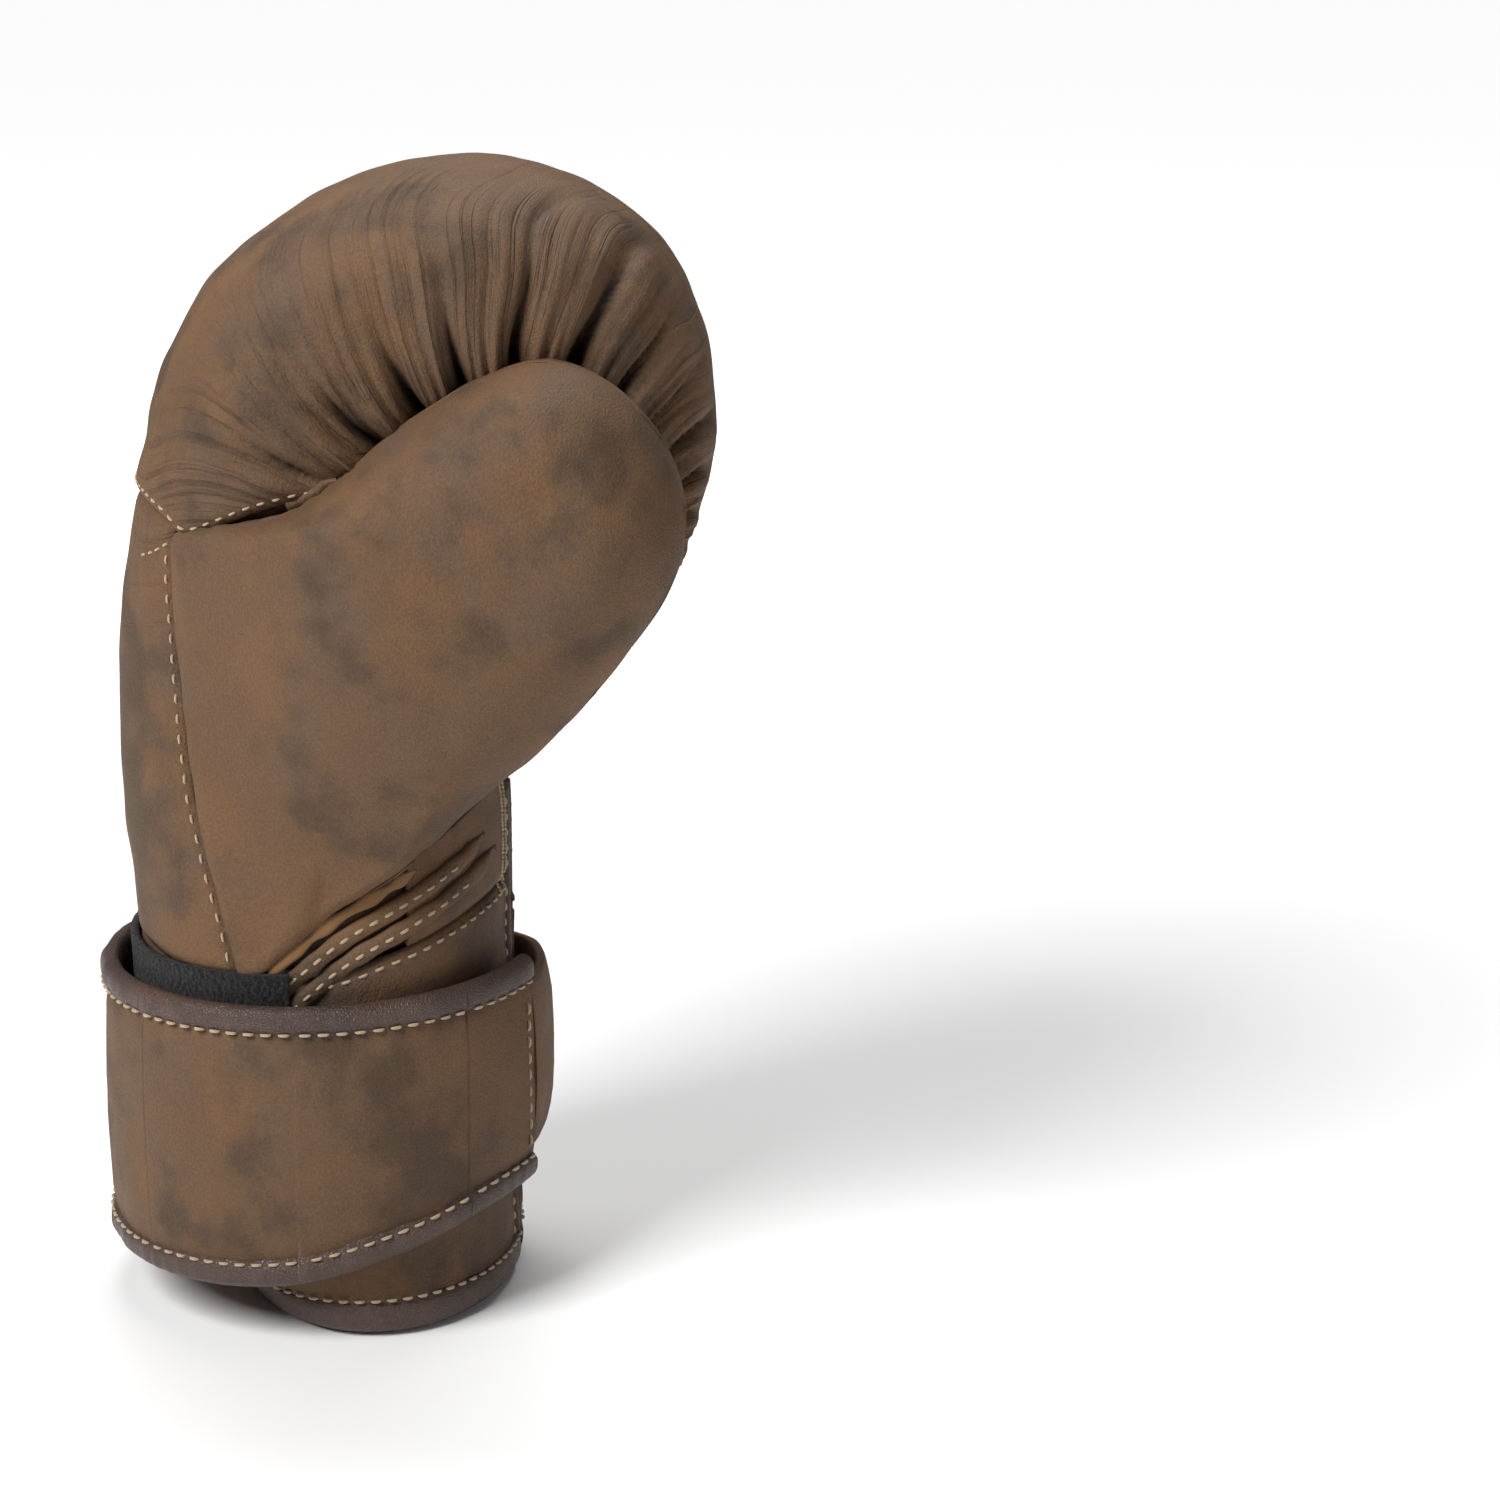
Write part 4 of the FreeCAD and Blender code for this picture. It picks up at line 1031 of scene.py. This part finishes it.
def build_inside():
    gap = math.radians(7)
    round_end = 2 * math.pi - gap
    wadding("cuff_foam", "cuff_pad", 5 * MM, 95 * MM, gap, round_end, 30, 120)
    wadding("back_foam", "back_pad", 97 * MM, 205 * MM, math.radians(112), math.radians(248))
    wadding("palm_foam", "palm_pad", 132 * MM, 205 * MM, math.radians(-110), math.radians(110))
    last = CURL[2] + math.radians(180 + 38) * CURL_PATH
    wadding("outer_knuckle_foam", "outer_knuckle_pad", 212 * MM, last, math.radians(82),
            math.radians(278), 70, 70)
    wadding("inner_knuckle_foam", "inner_knuckle_pad", 212 * MM, last, math.radians(-80),
            math.radians(80), 70, 60)
    for name, node, low, high, slit in (
            ("cuff_lining_cloth", "cuff_lining", 4 * MM, CUFF_TOP, True),
            ("hand_lining_cloth", "hand_lining", CUFF_TOP, 330 * MM, False)):
        t = np.linspace(low, high, 60)[:, None]
        edge = slit_edge(t[:, 0])[:, None] * 1.25 if slit else np.zeros_like(t)
        a = edge + (2 * math.pi - 2 * edge) * np.linspace(0, 1, 90)[None, :]
        t = t + 0 * a
        points = body(t, a, walled=1.0)
        points = points + outward(t, a) * (0.5 * MM * wobble(points, 14 * MM, 41))[..., None]
        if not slit:
            last = points[-1:]
            middle = last.mean(1, keepdims=True)
            points = np.concatenate([points, middle + (last - middle) * 0.3,
                                     middle + (last - middle) * 0.001])
        normals = grid_normals(points)
        quads = grid_quads(*points.shape[:2])
        if ((points - points.mean(1, keepdims=True)) * normals).sum() > 0:
            normals, quads = -normals, quads[:, ::-1]
        piece = sheet_piece(name, points, normals, quads, 1.0 * MM, LINING)
        belongs(piece, "glove", "lining_cloth", node)


# ---------------------------------------------------------------- hem, slit and loop panel

def build_hem():
    gap = slit_edge(4 * MM)[0]
    a = np.linspace(gap, 2 * math.pi - gap, 260)
    turn = np.linspace(0, 2 * math.pi, 36, endpoint=False)
    wall = 8 * MM
    off = -wall / 2 + (wall / 2 + 1.5 * MM) * np.sign(np.cos(turn)) * abs(np.cos(turn)) ** 0.62
    z = 4.9 * MM + 4.7 * MM * np.sign(np.sin(turn)) * abs(np.sin(turn)) ** 0.75
    run = a * 50 * MM
    swell = 1 + 0.05 * wobble_line(run, 8 * MM, 51)
    base = body(np.full_like(a, 5 * MM), a)
    normal = outward(np.full_like(a, 5 * MM), a)
    normal[:, 2] = 0
    normal /= np.linalg.norm(normal, axis=-1, keepdims=True)
    lean = (body(np.full_like(a, 9 * MM), a) - body(np.full_like(a, 1 * MM), a)) / (8 * MM)
    rings = base[:, None] + normal[:, None] * (off[None, :] * swell[:, None])[..., None]
    rings = rings + lean[:, None] * (z - 5 * MM)[None, :, None]
    rings[..., 2] = np.maximum(z[None, :] * swell[:, None] ** 0.3, 0.05 * MM)
    hem = tube("hem_binding_roll", rings, BINDING)
    belongs(hem, "glove", "binding_leather", "hem_binding")
    pick = base + normal * 1.45 * MM
    pick[:, 2] = 7.2 * MM
    pick += lean * 2.2 * MM
    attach(stitch_line("hem_stitches", pick, normal, 2.6 * MM, 1.5 * MM), "glove")


def build_slit():
    t = np.linspace(1.5 * MM, 129 * MM, 150)
    across, out = loop_of(22, 3.0)
    for side, name, node in ((1, "slit_edge_thumb_side", "slit_binding_thumb_side"),
                             (-1, "slit_edge_finger_side", "slit_binding_finger_side")):
        a = side * slit_edge(t)
        outer = body(t, a) + outward(t, a) * 1.0 * MM
        inner = body(t, a, walled=1.0) - outward(t, a) * 0.6 * MM
        middle, half = (outer + inner) / 2, (outer - inner) / 2
        rings = middle[:, None] + half[:, None] * out[None, :, None]
        width = (1.7 + 0.15 * wobble_line(t, 7 * MM, 61 + side)) * MM
        rings[..., 1] += across[None, :] * width[:, None] - side * 0.3 * MM
        piece = tube(name, rings, BINDING)
        belongs(piece, "glove", "binding_leather", node)
        edge = side * (slit_edge(t) + 0.047)
        skin_stitches(f"{name}_stitches", t, edge, length=2.4 * MM, gap=1.6 * MM)
    t = np.linspace(109 * MM, 131 * MM, 60)[:, None]
    share = np.linspace(1, -1, 40)[None, :]
    a = share * (slit_edge(t[:, 0])[:, None] + 0.02)
    t = t + 0 * a
    ribs = 0.25 * MM * np.sin(t / (0.28 * MM))
    points = body(t, a) + outward(t, a) * (ribs - 0.9 * MM)[..., None]
    gore = sheet_piece("elastic_gore", points, grid_normals(points), grid_quads(60, 40),
                       1.0 * MM, ELASTIC)
    belongs(gore, "glove", "elastic", "palm_gore")


def build_loops():
    rows, cols = 150, 300
    z = np.linspace(22, 95, rows)[:, None] * MM
    edge = angle_at(z[:, 0], -17.4 * MM)[:, None]
    a = (2 * math.pi - edge) + (2 * edge - 2 * math.pi) * np.linspace(0, 1, cols)[None, :]
    t = z + 0 * a
    rng = np.random.default_rng(71)
    fuzz = rng.uniform(0, 1, t.shape) * 0.55 * MM
    points = body(t, a) + outward(t, a) * (1.8 * MM + fuzz)[..., None]
    loops = sheet_piece("loop_patch", points, outward(t, a), grid_quads(rows, cols), 1.9 * MM,
                        LOOPS)
    belongs(loops, "glove", "hook_and_loop", "loop_panel")


# ---------------------------------------------------------------- the wrist strap

STRAP_X, STRAP_HALF_X, STRAP_HALF_Y = -14.2 * MM, 54.7 * MM, 57.2 * MM
STRAP_LOW = ((0, 31.0), (35, 30.0), (65, 23.5), (90, 17.5), (130, 14.5), (180, 14.0))
STRAP_TOP = ((0, 90.5), (90, 88.5), (180, 88.0))
LINK_MIDDLES = (46.0, -1.0, -46.6, -91.8, -137.0, -182.2, -227.4, -250.0)
LINK_HINGES = (22.0, -24.0, -69.2, -114.4, -159.6, -204.8)
LINKS = ("glove", "strap_bridge_link", "strap_link_1", "strap_link_2", "strap_link_3",
         "strap_link_4", "strap_link_5")


def strap_edge(rows, degrees):
    rows = np.array(rows)
    turned = abs((degrees + 180) % 360 - 180)
    return through(rows[:, 0], rows[:, 1], turned) * MM


def strap_at(degrees, off):
    """Points of the strap's oval, off from its middle, with normals."""
    angle = np.radians(degrees)
    normal = np.stack([np.cos(angle) / STRAP_HALF_X, np.sin(angle) / STRAP_HALF_Y,
                       np.zeros_like(angle)], -1)
    normal /= np.linalg.norm(normal, axis=-1, keepdims=True)
    base = np.stack([STRAP_X + STRAP_HALF_X * np.cos(angle), STRAP_HALF_Y * np.sin(angle),
                     np.zeros_like(angle)], -1)
    return base + normal * np.asarray(off)[..., None], normal


def sewn_shift(degrees, heights):
    """How far the strap's sewn end moves in from its oval, to lie on the cuff."""
    a = np.linspace(0, 2 * math.pi, 400)
    shift = np.zeros(len(degrees))
    for k, (turn, z) in enumerate(zip(degrees, heights)):
        skin = body(z, a) - np.array([STRAP_X, 0, 0])
        oval, _ = strap_at(np.array([turn]), np.zeros(1))
        way = math.atan2(oval[0, 1], oval[0, 0] - STRAP_X)
        angle = np.arctan2(skin[:, 1], skin[:, 0])
        order = np.argsort(angle)
        reach = np.interp(way, angle[order], np.hypot(skin[:, 0], skin[:, 1])[order])
        shift[k] = reach + 2.0 * MM - math.hypot(oval[0, 1], oval[0, 0] - STRAP_X)
    return shift * smooth(18.0, 40.0, degrees)


def strap_body(name, start, end, low, top, out_half, in_half, belly, power, seed=81):
    """A length of band or roll between two angles; low and top are offsets from the edges."""
    degrees = np.linspace(start, end, max(12, int(abs(end - start) * 1.6)))[:, None]
    across, out = loop_of(36, power)
    z_low = strap_edge(STRAP_LOW, degrees) + low
    z_top = strap_edge(STRAP_TOP, degrees) + top
    z = (z_low + z_top) / 2 + (z_top - z_low) / 2 * across[None, :]
    off = np.where(out > 0, out * out_half, out * in_half)[None, :]
    off = off + belly * (1 - across[None, :] ** 2) * (out[None, :] > 0)
    spot = np.stack([np.cos(np.radians(degrees)) * 58 * MM + 0 * z,
                     np.sin(np.radians(degrees)) * 58 * MM + 0 * z, z], -1)
    if start > LINK_HINGES[0]:
        off = off + sewn_shift(degrees[:, 0], (z_low + z_top)[:, 0] / 2)[:, None]
    uneven_by = 0.28 * MM * wobble(spot, 17 * MM, seed) + 0.12 * MM * wobble(spot, 5 * MM, seed + 1)
    off = off + uneven_by * (out[None, :] > -0.2)
    points, _ = strap_at(degrees + 0 * z, off)
    points[..., 2] = z
    return tube(name, points, STRAP_HIDE)


def strap_line(start, end, edge, offset, off):
    degrees = np.linspace(start, end, max(8, int(abs(end - start) * 1.5)))
    points, normals = strap_at(degrees, np.full_like(degrees, off))
    points[:, 2] = strap_edge(edge, degrees) + offset
    return points, normals


def strap_moves(piece, number):
    """Bakes a piece of strap in place, or lets the last one ride the last link."""
    if number >= len(LINK_HINGES):
        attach(piece, LINKS[-1])
        return
    hinge, normal = strap_at(np.array(LINK_HINGES[number]), np.array(1.5 * MM))
    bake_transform(piece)


def build_strap():
    for number in range(7):
        start, end = LINK_MIDDLES[number], LINK_MIDDLES[number + 1]
        parts = []
        if number <= 1:
            stop = max(end, -19.0)
            bridge = strap_body(f"strap_bridge_{number + 1}", start, stop, 7.5 * MM, -7.5 * MM,
                                2.0 * MM, 1.6 * MM, 1.3 * MM, 5.0, seed=85)
            parts.append(bridge)
            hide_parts(*(("strap_anchor", "strap_bridge") if number == 0 else ()))
            start = stop
        if number >= 1:
            band = strap_body(f"strap_band_{number}", start, end, 5.5 * MM, -5.5 * MM, 1.9 * MM,
                              1.5 * MM, 0.9 * MM, 8.0)
            parts.append(band)
            for place, rows, direction, seed in (("top", STRAP_TOP, -1, 91),
                                                 ("bottom", STRAP_LOW, 1, 95)):
                roll = strap_roll(f"strap_{place}_roll_{number}", start, end, rows, direction, seed)
                parts.append(roll)
                points, normals = strap_line(start, end, rows, direction * 6.3 * MM, 2.75 * MM)
                parts.append(stitch_line(f"strap_{place}_stitches_{number}", points, normals,
                                         2.9 * MM, 1.6 * MM, start=0.7 * MM))
            if number <= 5:
                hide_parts(f"strap_panel_{number}")
                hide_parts(f"strap_binding_{number}")
        if number == 1:
            base, normals = strap_at(np.full(60, -22.0), np.full(60, 2.75 * MM))
            base[:, 2] = np.linspace(40, 81, 60) * MM
            parts.append(stitch_line("strap_end_stitches", base, normals))
        for piece in parts:
            strap_moves(piece, number)


def strap_roll(name, start, end, rows, direction, seed):
    """The rolled leather binding along one edge of the strap."""
    degrees = np.linspace(start, end, max(12, int(abs(end - start) * 2.4)))[:, None]
    across, out = loop_of(28, 2.4)
    run = np.radians(degrees[:, 0]) * 58 * MM
    swell = 1 + 0.07 * wobble_line(run, 9 * MM, seed) + 0.035 * wobble_line(run, 3 * MM, seed + 1)
    half = 4.25 * MM
    z = strap_edge(rows, degrees) + direction * (half - 0.2 * MM) + across[None, :] * half
    pinch = 1 - 0.38 * smooth(0.2, 0.75, direction * across)[None, :] * smooth(
        1.25, 0.75, direction * across)[None, :]
    off = np.where(out > 0, out * 3.1 * MM, out * 2.2 * MM)[None, :] * swell[:, None] * pinch
    points, _ = strap_at(degrees + 0 * z, off)
    points[..., 2] = z
    return tube(name, points, BINDING)


# ---------------------------------------------------------------- welts, tabs and other stitching

def path_on_side(rows):
    """A line on the thumb side through (x, z) rows, as t and a."""
    line = even_steps(rounded(np.array(rows, float) * MM), 0.6 * MM)
    return line[:, 1], angle_at(line[:, 1], line[:, 0])


WELT_TOP = ((26, 127.0), (19.5, 122.5))


def build_trim():
    raw_edge = ((13, 118.5), (4, 113.5), (-6, 108.5), (-14, 102), (-21, 96), (-26, 91))
    t, a = path_on_side(raw_edge)
    suede = skin_strip("raw_suede_edge", t, a, 1.5 * MM, 1.0 * MM, 1.0 * MM, GOLD, 101, 0.22,
                       taper=6 * MM)
    belongs(suede, "glove", "panel_leather")
    for number, shift in ((1, (2.4, -4.6)), (2, (4.6, -9.6))):
        rows = [(x + shift[0], z + shift[1]) for x, z in WELT_TOP + raw_edge]
        rows[-1:] = [(rows[-1][0], rows[-1][1] + 1)]
        t, a = path_on_side(rows)
        t = np.clip(t, 84 * MM, None)
        welt = skin_strip(f"thumb_base_welt_{number}", t, a, 2.3 * MM, 1.7 * MM, 1.2 * MM,
                          PANEL_HIDE, 103 + number, 0.06, taper=11 * MM)
        belongs(welt, "glove", "panel_leather")
        skin_stitches(f"welt_stitches_{number}", t[14:], a[14:], lift=1.65 * MM,
                      length=2.7 * MM, gap=1.5 * MM)
    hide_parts("thumb_base_welts")
    t, a = path_on_side([(-14, 211.5), (-9, 214), (-2, 218.5)])
    tab = skin_strip("thumb_tab", t, a, 1.5 * MM, 1.2 * MM, 1.4 * MM, PANEL_HIDE, 107, 0.2)
    belongs(tab, "glove", "panel_leather", "thumb_lock_tab")
    t, a = path_on_side([(-43.8, 200.5), (-48, 197.5), (-53, 195)])
    skin_stitches("corner_stitches", t, a, length=2.2 * MM, gap=1.7 * MM, radius=0.34 * MM)
    a = np.radians(np.linspace(62, 300, 700))
    skin_stitches("mitt_edge_stitches", brow(a) + 3.1 * MM, a, length=2.2 * MM, gap=1.7 * MM,
                  radius=0.34 * MM)
    t = np.linspace(97 * MM, 200 * MM, 260)
    skin_stitches("back_seam_stitches", t, thumb_seam(t) + 0.040, length=2.6 * MM, gap=2.4 * MM,
                  radius=0.36 * MM)
    skin_stitches("back_seam_far_stitches", t, finger_seam(t) - 0.035, length=2.6 * MM,
                  gap=2.4 * MM, radius=0.36 * MM)
    a = np.radians(np.linspace(8, 88, 300))
    skin_stitches("cuff_seam_stitches", cuff_edge(a) - 2.4 * MM, a, length=2.6 * MM,
                  gap=1.8 * MM)
    a = np.radians(np.linspace(352, 250, 300))
    skin_stitches("cuff_seam_far_stitches", cuff_edge(a) - 2.4 * MM, a, length=2.6 * MM,
                  gap=1.8 * MM)
    z = np.linspace(104 * MM, 133 * MM, 60)
    for number, shift in enumerate((3.6, 7.4)):
        for side in (1, -1):
            zig = np.where(np.arange(60) % 2, 0.9, -0.9)
            a = side * (slit_edge(np.minimum(z, 129 * MM)) + (shift + zig) * MM / (48 * MM))
            fine = np.linspace(0, 59, 60 * 6)
            t_line = np.interp(fine, np.arange(60), z)
            a_line = np.interp(fine, np.arange(60), a)
            skin_stitches(f"zigzag_{number + 1}_{'thumb' if side > 0 else 'finger'}_side", t_line,
                          a_line, length=1.7 * MM, gap=0.35 * MM, radius=0.3 * MM)


build_thumb()
build_inside()
build_hem()
build_slit()
build_loops()
build_strap()
build_trim()

SLOT_FINISH = {"mitt_leather": MITT_HIDE, "panel_leather": PANEL_HIDE,
               "strap_leather": STRAP_HIDE, "binding_leather": BINDING, "padding": FOAM,
               "lining_cloth": LINING, "hook_and_loop": HOOKS, "elastic": ELASTIC}
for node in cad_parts.values():
    names = [m.name.split(".")[0] for m in node.data.materials if m]
    finish = next((SLOT_FINISH[n] for n in names if n in SLOT_FINISH), PANEL_HIDE)
    node.data.materials.clear()
    node.data.materials.append(finish)


# ---------------------------------------------------------------- floor, light and camera

def soft_light(name, place, aim, size, power):
    light = bpy.data.lights.new(name, "AREA")
    light.shape = "RECTANGLE"
    light.size, light.size_y = size
    light.energy = power
    lamp = bpy.data.objects.new(name, light)
    lamp.location = place
    lamp.rotation_euler = (Vector(aim) - Vector(place)).to_track_quat("-Z", "Y").to_euler()
    bpy.context.collection.objects.link(lamp)


def build_floor():
    material, tree, shader, place = start_material("pale_floor", Specular_IOR_Level=0.2)
    tone = mix_colour(tree, noise(tree, place, 3.0), colour(251, 251, 251), colour(254, 254, 254))
    tree.links.new(tone, shader.inputs["Base Color"])
    tree.links.new(stretch(tree, noise(tree, place, 6.0), 0.0, 1.0, 0.85, 0.95),
                   shader.inputs["Roughness"])
    away = add(tree, "ShaderNodeVectorMath", [(0, place)], operation="LENGTH").outputs["Value"]
    seen = add(tree, "ShaderNodeLightPath").outputs["Is Camera Ray"]
    glow = maths(tree, "MULTIPLY", seen, stretch(tree, away, 0.3, 1.3, 0.0, 0.9))
    tree.links.new(glow, shader.inputs["Emission Strength"])
    bpy.ops.mesh.primitive_plane_add(size=60.0)
    floor = bpy.context.object
    floor.name = "floor"
    floor.location.z = -0.6 * MM
    floor.data.materials.append(material)


# The strength at which the dim sky colour is seen as white
SKY_SEEN = 19.0

build_floor()
world = bpy.data.worlds.new("studio")
world.use_nodes = True
sky = world.node_tree
way = add(sky, "ShaderNodeSeparateXYZ", [
    (0, add(sky, "ShaderNodeTexCoord").outputs["Generated"])]).outputs
lean = maths(sky, "ADD", maths(sky, "MULTIPLY", way["Y"], 0.45),
             maths(sky, "MULTIPLY", way["X"], -0.75))
above = maths(sky, "ADD", lean, maths(sky, "MULTIPLY", way["Z"], 0.45))
bright = maths(sky, "MAXIMUM", stretch(sky, above, -0.35, 0.75, 0.55, 2.0),
               stretch(sky, way["Z"], 0.14, 0.26, 0.97, 0.0))
seen = add(sky, "ShaderNodeLightPath").outputs["Is Camera Ray"]
bright = maths(sky, "MAXIMUM", bright, maths(sky, "MULTIPLY", seen, SKY_SEEN))
sky.links.new(bright, sky.nodes["Background"].inputs["Strength"])
bpy.context.scene.world = world
soft_light("key_light", (-0.75, -0.85, 1.15), (0.0, 0.0, 0.15), (0.7, 0.7), 27.0)
soft_light("fill_light", (1.1, -0.9, 0.55), (0.0, 0.0, 0.13), (0.9, 0.9), 3.0)
soft_light("top_light", (0.1, 0.5, 1.4), (0.0, 0.0, 0.15), (1.0, 0.8), 14.0)

AIM = Vector((95.0, 0.0, 138.7)) * MM
camera_data = bpy.data.cameras.new("camera")
camera_data.lens = 85.0
camera_data.sensor_width = 36.0
camera_data.clip_start = 0.05
camera = bpy.data.objects.new("camera", camera_data)
camera.location = Vector((95.0, -876.2, 357.2)) * MM
camera.rotation_euler = (AIM - camera.location).to_track_quat("-Z", "Y").to_euler()
bpy.context.collection.objects.link(camera)
bpy.context.scene.camera = camera
bpy.context.scene.view_settings.view_transform = "Standard"
